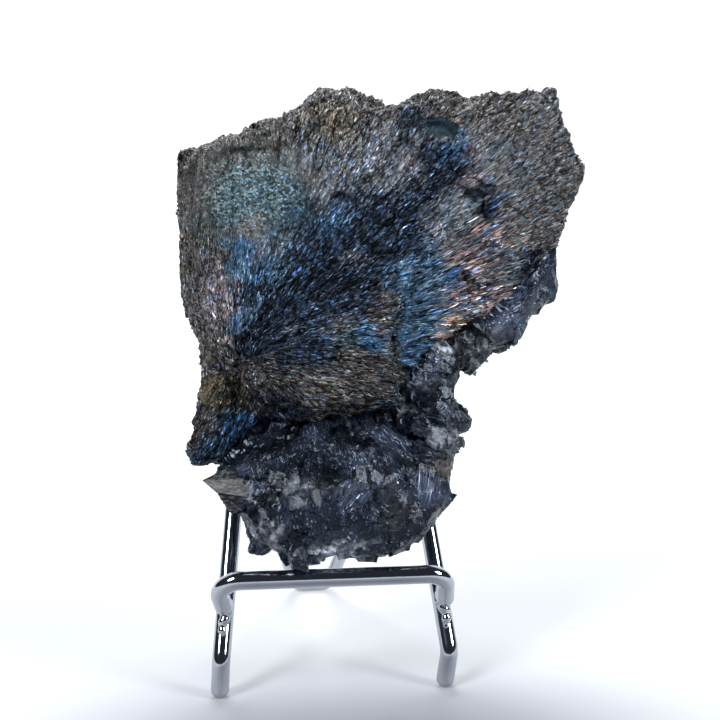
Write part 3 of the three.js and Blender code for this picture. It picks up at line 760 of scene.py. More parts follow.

# %% [markdown]
# ## Tarnish
# Fresh berthierite is steel grey. In air it tarnishes in thin films: navy, blue and teal where the
# film is thick, gold and rose where it is thin. Some patches are painted shade instead: the navy ones
# along a valley from the ledge up to the right through the middle, and the black ones beside the
# ledge's end and round the small holes. The patches have soft edges and follow the face, so each is
# a named colour with a middle and a reach. A point takes the mean of the patches near it, and the
# material later breaks that up fibre by fibre.

# %% Tarnish colours
# The navy colour serves both as tarnish and as painted shade; the black colour is painted shade only.
TARNISH = {
    "steel": (0.195, 0.210, 0.240),
    "brown grey": (0.140, 0.133, 0.129),
    "gold": (0.215, 0.182, 0.128),
    "teal": (0.074, 0.112, 0.126),
    "blue": (0.058, 0.144, 0.265),
    "navy_and_shade": (0.033, 0.052, 0.086),
    "rose": (0.280, 0.240, 0.262),
    "dusk": (0.108, 0.102, 0.104),
    "sky": (0.117, 0.207, 0.318),
    "ash": (0.170, 0.167, 0.175),
    "olive": (0.080, 0.077, 0.064),
    "painted_shade_black": (0.012, 0.016, 0.022),
}
# The navy patches from the ledge up to the right through the middle, and all black patches, are painted
# shade.
TARNISH_PATCHES = [
    ("brown grey", -32, 58, 5), ("brown grey", -33, 74, 5), ("brown grey", -33, 92, 6),
    ("rose", -26, 62, 3.5), ("rose", -26, 70, 2.4), ("sky", -21, 59, 2.4), ("sky", -19, 72, 2.4),
    ("sky", -15.5, 68, 2.2), ("blue", -20.5, 75.5, 1.8), ("rose", -16.5, 75, 1.6), ("gold", -11, 76, 1.8),
    ("teal", -18, 91, 8), ("teal", -10, 88, 5), ("brown grey", -18, 81, 3), ("brown grey", -18, 104, 7),
    ("brown grey", -6, 111, 5), ("gold", 3, 108, 4), ("brown grey", 11, 115, 7), ("navy_and_shade", -5.5, 91.5, 1.6),
    ("navy_and_shade", -5, 89, 2), ("blue", -9, 85, 2), ("steel", 0, 97, 7), ("dusk", -5, 94, 2),
    ("steel", 12, 103, 6), ("steel", 17, 94, 4), ("rose", 18, 98, 2.4), ("sky", -12.5, 73, 4.4),
    ("navy_and_shade", -7, 72, 6), ("navy_and_shade", 1, 77, 6), ("navy_and_shade", 8, 82, 6), ("navy_and_shade", 12, 76, 6), ("navy_and_shade", -2, 64, 6),
    ("navy_and_shade", 5, 66, 5), ("navy_and_shade", 15, 87, 4), ("navy_and_shade", -12, 62, 5), ("blue", 0, 82, 3),
    ("sky", 4, 86, 2.4), ("steel", 5, 74, 2),
    ("navy_and_shade", 22, 90, 3.5), ("navy_and_shade", 27, 98, 3.5), ("navy_and_shade", -5, 57, 4), ("navy_and_shade", -15, 52, 4),
    ("navy_and_shade", -6, 51, 4), ("navy_and_shade", -11, 47, 3), ("navy_and_shade", -3, 47.5, 2.6), ("steel", -9, 54, 1.6),
    ("brown grey", 1, 55, 2.2), ("blue", 8, 52, 2.6), ("teal", 4, 50, 2.2), ("dusk", 4, 46.5, 2.6),
    ("brown grey", 12, 62, 2.6), ("brown grey", 11, 56, 2), ("dusk", -12, 41, 3), ("brown grey", -7, 39, 3),
    ("brown grey", 2, 40.5, 3), ("dusk", 10, 42, 4), ("dusk", 13, 49, 2.6),
    ("sky", 17.5, 51, 3), ("sky", 20, 58, 4), ("painted_shade_black", 15.5, 51, 1.4), ("painted_shade_black", 15, 57, 1.2),
    ("rose", 25.5, 54, 2), ("sky", 23, 64, 3), ("sky", 17, 69, 2.4), ("rose", 28, 62, 3),
    ("gold", 32, 57, 3.2), ("sky", 26, 74, 2.4), ("rose", 33, 75, 4), ("blue", 30, 69, 2),
    ("rose", 40, 65, 5), ("steel", 44, 74, 4), ("rose", 43, 81, 4), ("ash", 50, 84, 4), ("steel", 28, 82, 4),
    ("rose", 38, 97, 3), ("steel", 43, 101, 6), ("ash", 57, 97, 6), ("ash", 50, 110, 7), ("ash", 54, 86, 4),
    ("dusk", 43, 118, 4), ("brown grey", 36, 117, 7), ("navy_and_shade", 22, 112, 3), ("sky", 35.6, 107.5, 1.5),
    ("sky", 34, 103.5, 1.6), ("blue", 31.5, 101, 2.2), ("navy_and_shade", 38, 89, 2), ("painted_shade_black", 36, 90, 1.6),
    ("gold", -26, 43, 1.8), ("olive", -23, 40, 2.2), ("dusk", -18, 43, 3), ("dusk", -29, 35, 3),
    ("blue", -21, 35, 2), ("navy_and_shade", -23, 30, 3), ("blue", -27, 31, 2), ("navy_and_shade", -30, 28, 2.6),
    ("navy_and_shade", -14, 34, 4), ("dusk", -32, 30, 2),
]


PATCH_SOFTNESS = 1.1


def tarnish_colours(rock, patches):
    """The mean of the patches' colours at each point, weighted by how near each patch is."""
    colour = np.zeros((len(rock), 3))
    total = np.full(len(rock), 1e-6)
    for name, x, z, reach in patches:
        squared = (rock[:, 0] - x) ** 2 + (rock[:, 1] - z) ** 2
        weight = np.exp(-squared / (PATCH_SOFTNESS * reach ** 2)) + 1e-7
        colour += weight[:, None] * np.array(TARNISH[name])
        total += weight
    return colour / total[:, None]


PIT_COLOUR = (0.046, 0.076, 0.098)
WOBBLE = 1.6
WOBBLE_CELL = 6
COLUMN_EDGE = (25.5, 28)
ragged_x = cells(rock / WOBBLE_CELL, 41)[0]
ragged_z = cells(rock / WOBBLE_CELL, 42)[0]
wobble = WOBBLE * np.stack([ragged_x, ragged_z, 0 * lift], 1)
tarnish = tarnish_colours(rock + wobble, TARNISH_PATCHES)
back = soft(rock[:, 2], 8, 15)[:, None]
tarnish = tarnish * (1 - back) + back * np.array(TARNISH["brown grey"]) * 0.8
tone = 0.35 + 0.45 * tones["flake"] + 0.35 * tones["splinter"] + 0.35 * tones["ridge"]
# Painted shade: raised bundles are a little lighter and sunken ones darker.
tone += 0.12 * heights["bundle"]
tone = tone * (1 - 0.4 * ribbed) + 0.4 * ribbed * (0.5 + tones["rib"])
column = soft(-rock[:, 0], *COLUMN_EDGE)
tone = tone * (1 - 0.5 * column) + 0.42 * column
tarnish *= np.clip(tone, 0.25, 1.8)[:, None]
tarnish[pit > 0] = PIT_COLOUR
# Painted shade: the chip and the small holes are darkened.
tarnish[sunk > 0] *= 0.4
store(fan, "tarnish", "FLOAT_COLOR", np.c_[tarnish, np.ones(len(tarnish))])

# %% What the materials and the splinters need to know
radius, angle = fibre_polar(rock)
store(fan, "fibre", "FLOAT_VECTOR", np.stack([angle, rock[:, 2], radius], 1))
store(fan, "ribbed", "FLOAT", ribbed)
store(fan, "grainy", "FLOAT", grainy)
store(fan, "flat", "FLOAT", pit)
away = np.stack([rock[:, 0] - FIBRE_CENTRE[0], rock[:, 1] - FIBRE_CENTRE[1], 0 * radius], 1)
away /= np.maximum(radius, 0.1)[:, None]
store(fan, "fibre_way", "FLOAT_VECTOR", away @ ROCK_AXES)
print("tarnish runs from", tarnish.min(0).round(3), "to", tarnish.max(0).round(3))

# %% [markdown]
# ## Berthierite
# The material is a metal. The tarnish gives its colour, a streaky noise along the fibres breaks it
# up, and a fine cell pattern tips the surface of every splinter a little another way, so each one
# catches the lamps at its own moment. That last step is what makes the stone glitter. On top of
# that, painted shade darkens the edges of flakes and bundles, and painted glints brighten some
# flakes by chance.


# %% Fibres and cells in a material
def cell_tilt(tree, cell_colour, normal, strength):
    """Tips the normal of every cell in its own direction."""
    random = vector_maths(tree, "SUBTRACT", cell_colour, (0.5, 0.5, 0.5))
    tipped = vector_maths(tree, "ADD", normal, scaled(tree, random, strength))
    return vector_maths(tree, "NORMALIZE", tipped)


FIRST_REACH = 24.0
BUNDLES_PER_RADIAN = 18.0


def even_fibres(tree, fibre):
    """Fibre coordinates in millimetres, whose scale doubles each time the distance has doubled."""
    turn, depth, radius = add(tree, "ShaderNodeSeparateXYZ", {"Vector": fibre}).outputs
    bundle = maths(tree, "FLOOR", maths(tree, "MULTIPLY", turn, BUNDLES_PER_RADIAN))
    ragged = add(tree, "ShaderNodeTexWhiteNoise", {"W": bundle}, noise_dimensions="1D").outputs["Value"]
    doublings = maths(tree, "LOGARITHM", maths(tree, "DIVIDE", radius, FIRST_REACH), 2.0)
    band = maths(tree, "FLOOR", maths(tree, "ADD", maths(tree, "ADD", doublings, 0.2), ragged))
    reach = maths(tree, "MULTIPLY", maths(tree, "POWER", 2.0, band), FIRST_REACH)
    across = maths(tree, "MULTIPLY", turn, reach)
    return add(tree, "ShaderNodeCombineXYZ", {"X": across, "Y": depth, "Z": radius}).outputs["Vector"]


def round_cells(tree, place, per_metre):
    """A random colour for each of many small round cells."""
    inputs = {"Vector": scaled(tree, place, per_metre), "Scale": 1.0}
    return add(tree, "ShaderNodeTexVoronoi", inputs).outputs["Color"]


def long_cells(tree, fibre, size, feature="F1", output="Color"):
    """Cells along the fibres, of a width and a length; gives each cell's random colour."""
    width, length = size
    stretched = vector_maths(tree, "MULTIPLY", fibre, (1 / width, 1 / width, 1 / length))
    inputs = {"Vector": stretched, "Scale": 1.0}
    return add(tree, "ShaderNodeTexVoronoi", inputs, feature=feature).outputs[output]


def cell_edges(tree, fibre, size):
    return long_cells(tree, fibre, size, "DISTANCE_TO_EDGE", "Distance")


def three_numbers(tree, colour):
    return add(tree, "ShaderNodeSeparateColor", {"Color": colour}).outputs


# %% Berthierite material
berthierite, tree, shader = new_material("berthierite", Metallic=0.9)
fibre = even_fibres(tree, attribute(tree, "fibre", "Vector"))
colour = attribute(tree, "tarnish", "Color")
ribbed, grainy, flat = (attribute(tree, name) for name in ("ribbed", "grainy", "flat"))

FLAKE = (0.38, 1.6)
RIB = (0.38, 5.0)
BUNDLE = (1.5, 6.0)
GRAINS_PER_METRE = 1900.0
flake = long_cells(tree, fibre, FLAKE)
rib = long_cells(tree, fibre, RIB)
grain = round_cells(tree, object_place(tree), GRAINS_PER_METRE)
random = mixed(tree, grainy, mixed(tree, ribbed, flake, rib), grain)
edge = mixed(tree, ribbed, cell_edges(tree, fibre, FLAKE), cell_edges(tree, fibre, RIB))
light_chance, film_chance, gloss_chance = three_numbers(tree, random)

# %% Light and dark of the fibres
streaks = noise(tree, vector_maths(tree, "MULTIPLY", fibre, (3.4, 3.4, 0.7)), 1.0, 5.0, 0.7)
light_dark = ramp(tree, streaks, (0.38, 0.35), (0.50, 1.0), (0.62, 2.0))
# Flakes and grains take a brightness by chance: partly their own tone, partly painted glints, made stronger
# where the tarnish is dark.
flicker = ramp(tree, light_chance, (0.0, 0.45), (0.4, 0.9), (0.8, 1.4), (1.0, 2.2))
# Painted shade: dark lines along the edges of flakes and of bundles.
painted_gap_shade = ramp(tree, edge, (0.02, 0.10), (0.14, 1.0))
painted_crack_shade = ramp(tree, cell_edges(tree, fibre, BUNDLE), (0.01, 0.10), (0.07, 1.0))
shade = times(tree, times(tree, light_dark, flicker), times(tree, painted_gap_shade, painted_crack_shade))
granular = ramp(tree, light_chance, (0.0, 0.30), (0.6, 0.95), (1.0, 2.3))
shade = mixed(tree, grainy, shade, granular)
contrast = add(
    tree, "ShaderNodeMapRange",
    {"Value": colour, "From Min": 0.03, "From Max": 0.16, "To Min": 1.7, "To Max": 0.8},
).outputs["Result"]
shade = maths(tree, "POWER", shade, contrast)
shade = mixed(tree, maths(tree, "MULTIPLY", flat, 0.8), shade, (1, 1, 1))
toned = times(tree, colour, shade)

# %% Film colours of the fibres
film = ramp(
    tree, film_chance,
    (0.0, (0.38, 0.85, 1.75)), (0.25, (0.70, 1.08, 1.18)), (0.5, (1.0, 1.0, 1.0)),
    (0.75, (1.18, 1.10, 0.84)), (1.0, (1.5, 1.08, 1.10)),
)
film_share = maths(tree, "ADD", 0.5, maths(tree, "MULTIPLY", ribbed, 0.4))
final = mixed(tree, film_share, toned, times(tree, toned, film))
tree.links.new(final, shader.inputs["Base Color"])

# %% Gloss and relief of the fibres
FIBRE_TILT = 0.48
FAN_SHARP_ANGLE = math.radians(38)
tree.links.new(ramp(tree, gloss_chance, (0.0, 0.38), (1.0, 0.68)), shader.inputs["Roughness"])
roof = maths(tree, "MULTIPLY", maths(tree, "MINIMUM", edge, 0.35), 1.6)
height = maths(tree, "ADD", maths(tree, "MULTIPLY", streaks, 0.8), roof)
uneven = maths(tree, "SUBTRACT", 1.0, maths(tree, "MULTIPLY", flat, 0.85))
tilt = maths(tree, "MULTIPLY", uneven, FIBRE_TILT)
tipped = cell_tilt(tree, random, bumped(tree, height, 1.0, 0.3 * MM), tilt)
tree.links.new(tipped, shader.inputs["Normal"])
print("berthierite:", len(tree.nodes), "nodes")

fan.materials.append(berthierite)
fan.set_sharp_from_angle(angle=FAN_SHARP_ANGLE)
fan_piece = finish_piece(fan, "berthierite_fan", "berthierite", "berthierite")

# %% [markdown]
# ## Loose splinters
# Broken fibres lie loose on the face as thin slivers. Geometry Nodes strew a small double
# pyramid over the skin, turn its long axis along the fibres and its flat side to the face, and let
# it keep the tarnish of the place where it lies. Slivers are denser on the front than behind.


# %% Strewing on a skin
def seeds_on(tree, given, share, seed):
    """Points on the skin, as dense as the stored share of the density says."""
    density = maths(tree, "MULTIPLY", stored(tree, share), given["Density"])
    inputs = {"Mesh": given["Skin"], "Density": density, "Seed": seed}
    return add(tree, "GeometryNodeDistributePointsOnFaces", inputs).outputs


def swung(tree, rotation, least, most, seed):
    """A rotation, turned a little further by chance."""
    inputs = {0: least, 1: most, "Seed": seed}
    swing = add(tree, "FunctionNodeRandomValue", inputs, data_type="FLOAT_VECTOR").outputs[0]
    both = {"Rotation": rotation, "Rotate By": swing}
    return add(tree, "FunctionNodeRotateRotation", both, rotation_space="LOCAL").outputs[0]


def chance_size(tree, least, most, seed):
    inputs = {2: least, 3: most, "Seed": seed}
    return add(tree, "FunctionNodeRandomValue", inputs, data_type="FLOAT").outputs[1]


def strewn(tree, points, thing, rotation, scale):
    inputs = {"Points": points, "Instance": thing, "Rotation": rotation, "Scale": scale}
    return add(tree, "GeometryNodeInstanceOnPoints", inputs).outputs["Instances"]


# %% Slivers along the fibres
def splinter_tree(material):
    sizes = ("Density", "Length", "Width", "Spread")
    tree, given = start_tree("splinters", "Skin", sizes, "Splinters")
    seeds = seeds_on(tree, given, "splinters", 4)
    way = stored(tree, "fibre_way", "FLOAT_VECTOR")
    flat = add(tree, "FunctionNodeAlignRotationToVector", {"Vector": seeds["Normal"]}, axis="Y")
    along = add(
        tree, "FunctionNodeAlignRotationToVector",
        {"Rotation": flat.outputs[0], "Vector": way}, axis="Z", pivot_axis="Y",
    )
    least = scaled(tree, (1.0, 1.4, 0.0), given["Spread"])
    most = scaled(tree, (0.5, 1.4, 0.0), given["Spread"])
    turned = swung(tree, along.outputs[0], scaled(tree, least, -1.0), most, 5)
    size = chance_size(tree, 0.45, 1.35, 6)
    stretch = maths(tree, "ADD", 1.0, maths(tree, "MULTIPLY", stored(tree, "ribbed"), 0.8))
    length = maths(tree, "MULTIPLY", maths(tree, "MULTIPLY", size, stretch), given["Length"])
    width = maths(tree, "MULTIPLY", maths(tree, "ADD", size, 0.5), given["Width"])
    thickness = maths(tree, "MULTIPLY", width, 0.8)
    scale = add(tree, "ShaderNodeCombineXYZ", {"X": width, "Y": thickness, "Z": length})
    sliver = add(tree, "GeometryNodeMeshUVSphere", {"Segments": 4, "Rings": 2, "Radius": 0.5})
    slivers = strewn(tree, seeds["Points"], sliver.outputs["Mesh"], turned, scale.outputs["Vector"])
    return end_tree(tree, slivers, material, "Splinters")


# %% Splinters on the fan
rock = to_rock(points_of(fan))
zones = fan_zones(rock)
share = (1 - 0.6 * soft(rock[:, 2], 8, 14)) * (1 - 0.75 * zones["grainy"])
share *= 1 - 0.8 * soft(-rock[:, 0], *COLUMN_EDGE)
bare = np.clip(1.6 * blob(rock, 29, 108.3, 5.6, 4.4, -20), 0, 1) * zones["front"]
store(fan, "splinters", "FLOAT", share * (1 - bare))
sliver_sizes = {"Density": 1.65e6, "Length": 1.5 * MM, "Width": 0.27 * MM, "Spread": 0.10}
splinters = through_nodes(fan_piece, splinter_tree(berthierite), **sliver_sizes)
finish_piece(splinters, "fan_splinters", "berthierite")

# %% [markdown]
# ## Quartz
# Below and beside the fan the quartz is packed with the same needles, which makes it blue-black.
# The needles spread downwards from under the ledge, so this stone gets polar coordinates of its own.

# %% Needle coordinates
QUARTZ_CENTRE = np.array([-1.0, 41.0])
QUARTZ_SKIN = 0.4 * MM
quartz = fine_skin("quartz_cluster", QUARTZ_SKIN)
points = points_of(quartz)
rock = to_rock(points)
dx = rock[:, 0] - QUARTZ_CENTRE[0]
dz = rock[:, 1] - QUARTZ_CENTRE[1]
needle_radius = np.hypot(dx, dz)
needle_angle = np.mod(np.arctan2(dz, dx) - math.pi / 2, 2 * math.pi)
print("needles reach", round(float(needle_radius.max())), "mm from their start")

# %% [markdown]
# ## Cleavage faces
# Quartz breaks into glassy faces that meet at crisp edges. The skin is split into cells, and every
# cell's points are pulled onto the plane that fits them: first large planes, then smaller steps on
# them. A little height from cell to cell then keeps neighbours apart.


# %% Flat faces from cells
LEAST_FACING = 0.25
FEWEST_POINTS = 8


def flatten_cells(points, normals, numbers, share, farthest):
    """Pulls the points of every cell towards the plane that fits them, which makes cleavage faces."""
    moved = points.copy()
    kinds, which = np.unique(numbers, return_inverse=True)
    order = np.argsort(which, kind="stable")
    ends = np.searchsorted(which[order], np.arange(len(kinds) + 1))
    for start, end in zip(ends, ends[1:]):
        own = order[start:end]
        facing = normals[own].mean(0)
        facing /= np.linalg.norm(facing) + 1e-9
        own = own[normals[own] @ facing > LEAST_FACING]
        if len(own) < FEWEST_POINTS:
            continue
        off = (points[own].mean(0) - points[own]) @ facing
        moved[own] += facing * np.clip(off * share, -farthest, farthest)[:, None]
    return moved


PLANE_SIZE = 8.5
STEP_SIZE = 3.6
CHIP_SIZE = np.array([1.9, 1.9, 2.2])
planes, plane_tone = cells(rock / PLANE_SIZE, 11, 1.8)
steps, step_tone = cells(rock / STEP_SIZE, 14, 2.0)
chips, chip_tone = cells(rock / CHIP_SIZE, 12, 0.8)
normals = normals_of(quartz)
points = flatten_cells(points, normals, plane_tone, 0.85, 1.3 * MM)
points = flatten_cells(points, normals, step_tone, 0.6, 0.5 * MM)
lift = 0.32 * planes + 0.15 * steps + 0.03 * chips
points += normals * (lift * MM)[:, None]
print("cleavage steps lift the skin by up to", round(float(np.abs(lift).max()), 2), "mm")

# %% [markdown]
# ## Grown together
# The solids leave a small gap between quartz and fan, but the real stones grew into each other. So
# quartz points that face the fan across a narrow gap are drawn onto its surface, fully where the
# gap is narrowest and less further off, and end a little inside it.

# %% Quartz grown onto the fan
FULL_PULL_WITHIN = 1.2 * MM
PULL_WITHIN = 2.6 * MM
OVERLAP = 0.25 * MM
LEAST_GAP = 0.1 * MM
fan_points = points_of(fan)
fan_surface = BVHTree.FromPolygons(fan_points.tolist(), [face.vertices[:] for face in fan.polygons])
for i, point in enumerate(points):
    nearest, _, _, distance = fan_surface.find_nearest(point, PULL_WITHIN)
    if nearest is not None and (np.array(nearest) - point) @ normals[i] > 0.5 * distance:
        pull = min(1.0, (PULL_WITHIN - distance) / (PULL_WITHIN - FULL_PULL_WITHIN))
        points[i] += (np.array(nearest) - point) * pull * (1 + OVERLAP / max(distance, LEAST_GAP))
move_points(quartz, points)
print("the fan's surface has", len(fan_points), "points to close in on")

# %% [markdown]
# ## Pale places in the quartz
# Where few needles grew, the quartz is milky or clear grey: along the foot, on a ledge in the
# middle, on a knob at the right edge and on the lumps that line the fan's right side. Each is an
# ellipse on the face: middle, two reaches, turn in degrees and strength. Rust stains two places.

# %% Pale places
PALE_PLACES = [
    (-0.5, 6.0, 6, 1.9, 0, 1.6), (3, 18.5, 9, 2.6, 20, 0.05), (-8, 17.5, 4, 2.2, 10, 0.5),
    (25, 29.5, 5, 2.2, -10, 0.5), (28, 35, 4, 4, 0, 0.02), (26.5, 52, 2.6, 1.6, 30, 2.0),
    (38, 54, 7, 2.6, 40, 0.16), (34, 53, 4, 3.0, 30, 0.08), (15.5, 37, 2, 1.2, 0, 0.8),
    (-18, 11, 2.2, 1.6, 30, 0.6), (-13.8, 9.5, 2.2, 1.6, 30, 0.6), (20, 44, 5, 4, 40, 0.05),
]
pale = sum(s * blob(rock, x, z, rx, rz, turn) for x, z, rx, rz, turn, s in PALE_PLACES)
pale *= 0.35 + 0.9 * chip_tone
warm = blob(rock, 24, 23.5, 3.0, 2.4) * 0.75 + blob(rock, 11.5, 15, 4, 7) * 0.12
store(quartz, "pale", "FLOAT", np.clip(pale, 0, 1))
store(quartz, "warm", "FLOAT", np.clip(warm, 0, 1))
store(quartz, "needle", "FLOAT_VECTOR", np.stack([needle_angle * 22, rock[:, 2], needle_radius], 1))
store(quartz, "tone", "FLOAT", 0.65 * plane_tone + 0.35 * step_tone)
store(quartz, "plane", "FLOAT", plane_tone)

# %% Quartz material
dark_quartz, tree, shader = new_material("dark_quartz", IOR=1.54, Specular_IOR_Level=0.25)
shader.inputs["Specular Tint"].default_value = (0.72, 0.84, 1.0, 1)
pale_share, warm_share, tone, plane = (
    attribute(tree, name) for name in ("pale", "warm", "tone", "plane")
)
place = object_place(tree)
facet = round_cells(tree, place, 400.0)
_, milk_chance, gloss_chance = three_numbers(tree, facet)
cloud = noise(tree, place, 700.0, 5.0)

# %% Needles in the quartz
NEEDLE = (0.20, 4.5)
NEEDLE_SWING = 1.8
across, depth, along = add(
    tree, "ShaderNodeSeparateXYZ", {"Vector": attribute(tree, "needle", "Vector")}
).outputs
swing = maths(tree, "MULTIPLY", maths(tree, "SUBTRACT", plane, 0.5), NEEDLE_SWING)
across = maths(tree, "ADD", across, maths(tree, "MULTIPLY", swing, along))
needle_way = add(tree, "ShaderNodeCombineXYZ", {"X": across, "Y": depth, "Z": along}).outputs["Vector"]
needle = long_cells(tree, needle_way, NEEDLE)
threads = noise(tree, vector_maths(tree, "MULTIPLY", needle_way, (3.0, 3.0, 0.35)), 1.0, 4.0, 0.7)

# %% Colours of the quartz
body = ramp(
    tree, three_numbers(tree, needle)[0],
    (0.0, (0.003, 0.004, 0.008)), (0.7, (0.007, 0.010, 0.017)), (0.92, (0.018, 0.023, 0.035)),
    (1.0, (0.10, 0.12, 0.16)),
)
body = times(tree, body, ramp(tree, threads, (0.35, 0.3), (0.6, 1.9)))
body = times(tree, body, ramp(tree, tone, (0.2, 0.4), (0.55, 1.0), (0.85, 2.2)))
body = times(tree, body, ramp(tree, noise(tree, place, 150.0, 3.0), (0.38, 0.25), (0.66, 2.2)))
milk = ramp(tree, cloud, (0.38, (0.03, 0.035, 0.045)), (0.64, (0.46, 0.50, 0.58)))
milk = times(tree, milk, ramp(tree, milk_chance, (0.0, 0.35), (1.0, 1.5)))
body = mixed(tree, pale_share, body, milk)
rust = ramp(tree, cloud, (0.42, (0.02, 0.017, 0.014)), (0.6, (0.26, 0.22, 0.18)))
body = mixed(tree, maths(tree, "MULTIPLY", warm_share, 0.45), body, rust)
tree.links.new(body, shader.inputs["Base Color"])

# %% Gloss and relief of the quartz
QUARTZ_SHARP_ANGLE = math.radians(34)
tree.links.new(ramp(tree, gloss_chance, (0.0, 0.10), (1.0, 0.30)), shader.inputs["Roughness"])
tilted = cell_tilt(tree, facet, bumped(tree, threads, 0.4, 0.2 * MM), 0.16)
tilted = cell_tilt(tree, round_cells(tree, place, 1100.0), tilted, 0.14)
tilted = cell_tilt(tree, needle, tilted, 0.07)
tree.links.new(tilted, shader.inputs["Normal"])
print("dark quartz:", len(tree.nodes), "nodes")

quartz.materials.append(dark_quartz)
quartz.set_sharp_from_angle(angle=QUARTZ_SHARP_ANGLE)
quartz_piece = finish_piece(quartz, "quartz_lump", "dark_quartz", "quartz_cluster")

# %% [markdown]
# ## Clear crystals
# Little quartz crystals sit on the crust, the foot and the pale places. They are clear, so light
# passes through them: the material has transmission, the refraction of quartz and a grey tint.
# Each is a six-sided prism with a point, and Geometry Nodes set them on the skin by chance, leaning
# a little and of many sizes.

# %% Clear quartz material
clear_quartz, tree, shader = new_material(
    "clear_quartz", IOR=1.54, Roughness=0.08, Transmission_Weight=0.75, Specular_IOR_Level=0.5
)
shader.inputs["Base Color"].default_value = (0.30, 0.33, 0.38, 1)


# %% Crystals on the skin
def tapered(tree, bottom, top, height, fill):
    """Six flat sides that taper from one radius to another."""
    inputs = {"Vertices": 6, "Radius Top": top, "Radius Bottom": bottom, "Depth": height}
    return add(tree, "GeometryNodeMeshCone", inputs, fill_type=fill).outputs["Mesh"]


def raised(tree, geometry, height):
    inputs = {"Geometry": geometry, "Translation": (0, 0, height)}
    return add(tree, "GeometryNodeTransform", inputs).outputs["Geometry"]


def crystal_tree(material):
    tree, given = start_tree("crystals", "Skin", ("Density", "Size", "Lean"), "Crystals")
    seeds = seeds_on(tree, given, "crystals", 8)
    most = add(tree, "ShaderNodeCombineXYZ", {"X": given["Lean"], "Y": given["Lean"], "Z": math.pi})
    least = scaled(tree, most.outputs["Vector"], -1.0)
    turned = swung(tree, seeds["Rotation"], least, most.outputs["Vector"], 9)
    size = chance_size(tree, 0.3, 1.0, 10)
    scale = maths(tree, "MULTIPLY", maths(tree, "POWER", size, 1.6), given["Size"])
    both = add(tree, "GeometryNodeJoinGeometry")
    tree.links.new(tapered(tree, 0.34, 0.30, 0.9, "NONE"), both.inputs[0])
    tree.links.new(raised(tree, tapered(tree, 0.30, 0.02, 0.42, "NGON"), 0.9), both.inputs[0])
    sunk = raised(tree, both.outputs[0], -0.45)
    return end_tree(tree, strewn(tree, seeds["Points"], sunk, turned, scale), material, "Crystals")


# %% Where the crystals grow
CRYSTAL_PLACES = [
    (-5, 5.5, 7, 1.4, 0, 0.35), (-8, 17, 3.5, 2, 10, 1.0), (38, 54, 7, 3, 40, 0.25),
    (26, 30, 4, 2, -10, 0.25), (23.5, 23.5, 2.2, 2.2, 0, 0.5), (8, 20, 6, 2, 20, 0.25),
]
crystal_share = sum(s * blob(rock, x, z, rx, rz, turn) for x, z, rx, rz, turn, s in CRYSTAL_PLACES)
store(quartz, "crystals", "FLOAT", np.clip(crystal_share, 0, 1))
crystal_sizes = {"Density": 0.22e6, "Size": 2.8 * MM, "Lean": 1.2}
crystals = through_nodes(quartz_piece, crystal_tree(clear_quartz), **crystal_sizes)
finish_piece(crystals, "clear_crystals", "dark_quartz")

# %% [markdown]
# ## The pointed crystal
# One larger crystal sticks out at the left with clean, veined faces. It is two blocks grown into
# each other. Each block is the convex hull of a few corners, given as places on the rock: across,
# up and how deep.

# %% Blocks of the pointed crystal
UPPER_BLOCK = [
    (-29.2, 21.9, 3.0), (-23.6, 24.6, 3.0), (-18.9, 21.6, 0.2), (-17.2, 19.0, -0.4),
    (-19.4, 17.3, -0.2), (-26.0, 18.8, 1.6), (-20.0, 20.0, 9.0),
]
LOWER_BLOCK = [
    (-25.9, 18.8, 2.2), (-18.6, 17.6, 0.2), (-23.0, 14.2, 2.2), (-19.8, 15.2, 1.2),
    (-19.0, 18.0, 8.0), (-24.0, 19.5, 5.0),
]


def faceted_block(sheet, corners):
    fresh = [sheet.verts.new(from_rock(corner)) for corner in corners]
    made = bmesh.ops.convex_hull(sheet, input=fresh)
    spare = [v for v in made["geom_interior"] if isinstance(v, bmesh.types.BMVert)]
    bmesh.ops.delete(sheet, geom=spare, context="VERTS")


# %% Its veined material
pale_quartz, tree, shader = new_material(
    "pale_quartz", IOR=1.54, Roughness=0.36, Specular_IOR_Level=0.12
)
slanted = vector_maths(tree, "MULTIPLY", object_place(tree), (900.0, 500.0, 2600.0))
veins = ramp(
    tree, noise(tree, slanted, 1.0, 4.0),
    (0.40, (0.006, 0.007, 0.009)), (0.52, (0.030, 0.032, 0.036)), (0.70, (0.095, 0.10, 0.11)),
)
tree.links.new(veins, shader.inputs["Base Color"])

# %% Both blocks as one piece
EDGE_WIDTH = 0.12 * MM
sheet = bmesh.new()
faceted_block(sheet, UPPER_BLOCK)
faceted_block(sheet, LOWER_BLOCK)
bmesh.ops.bevel(
    sheet, geom=list(sheet.edges), offset=EDGE_WIDTH, segments=1, profile=0.5,
    affect="EDGES", clamp_overlap=True,
)
pointed = bpy.data.meshes.new("pointed_crystal")
sheet.to_mesh(pointed)
sheet.free()
pointed.materials.append(pale_quartz)
finish_piece(pointed, "pointed_crystal", "dark_quartz")

# %% [markdown]
# ## Floor and backdrop
# The specimen stands on white card that curves up behind it. Its glow is painted light: the card
# glows a little, more towards the back, as in a light tent, and a painted shadow dims the glow in
# front of the stand.

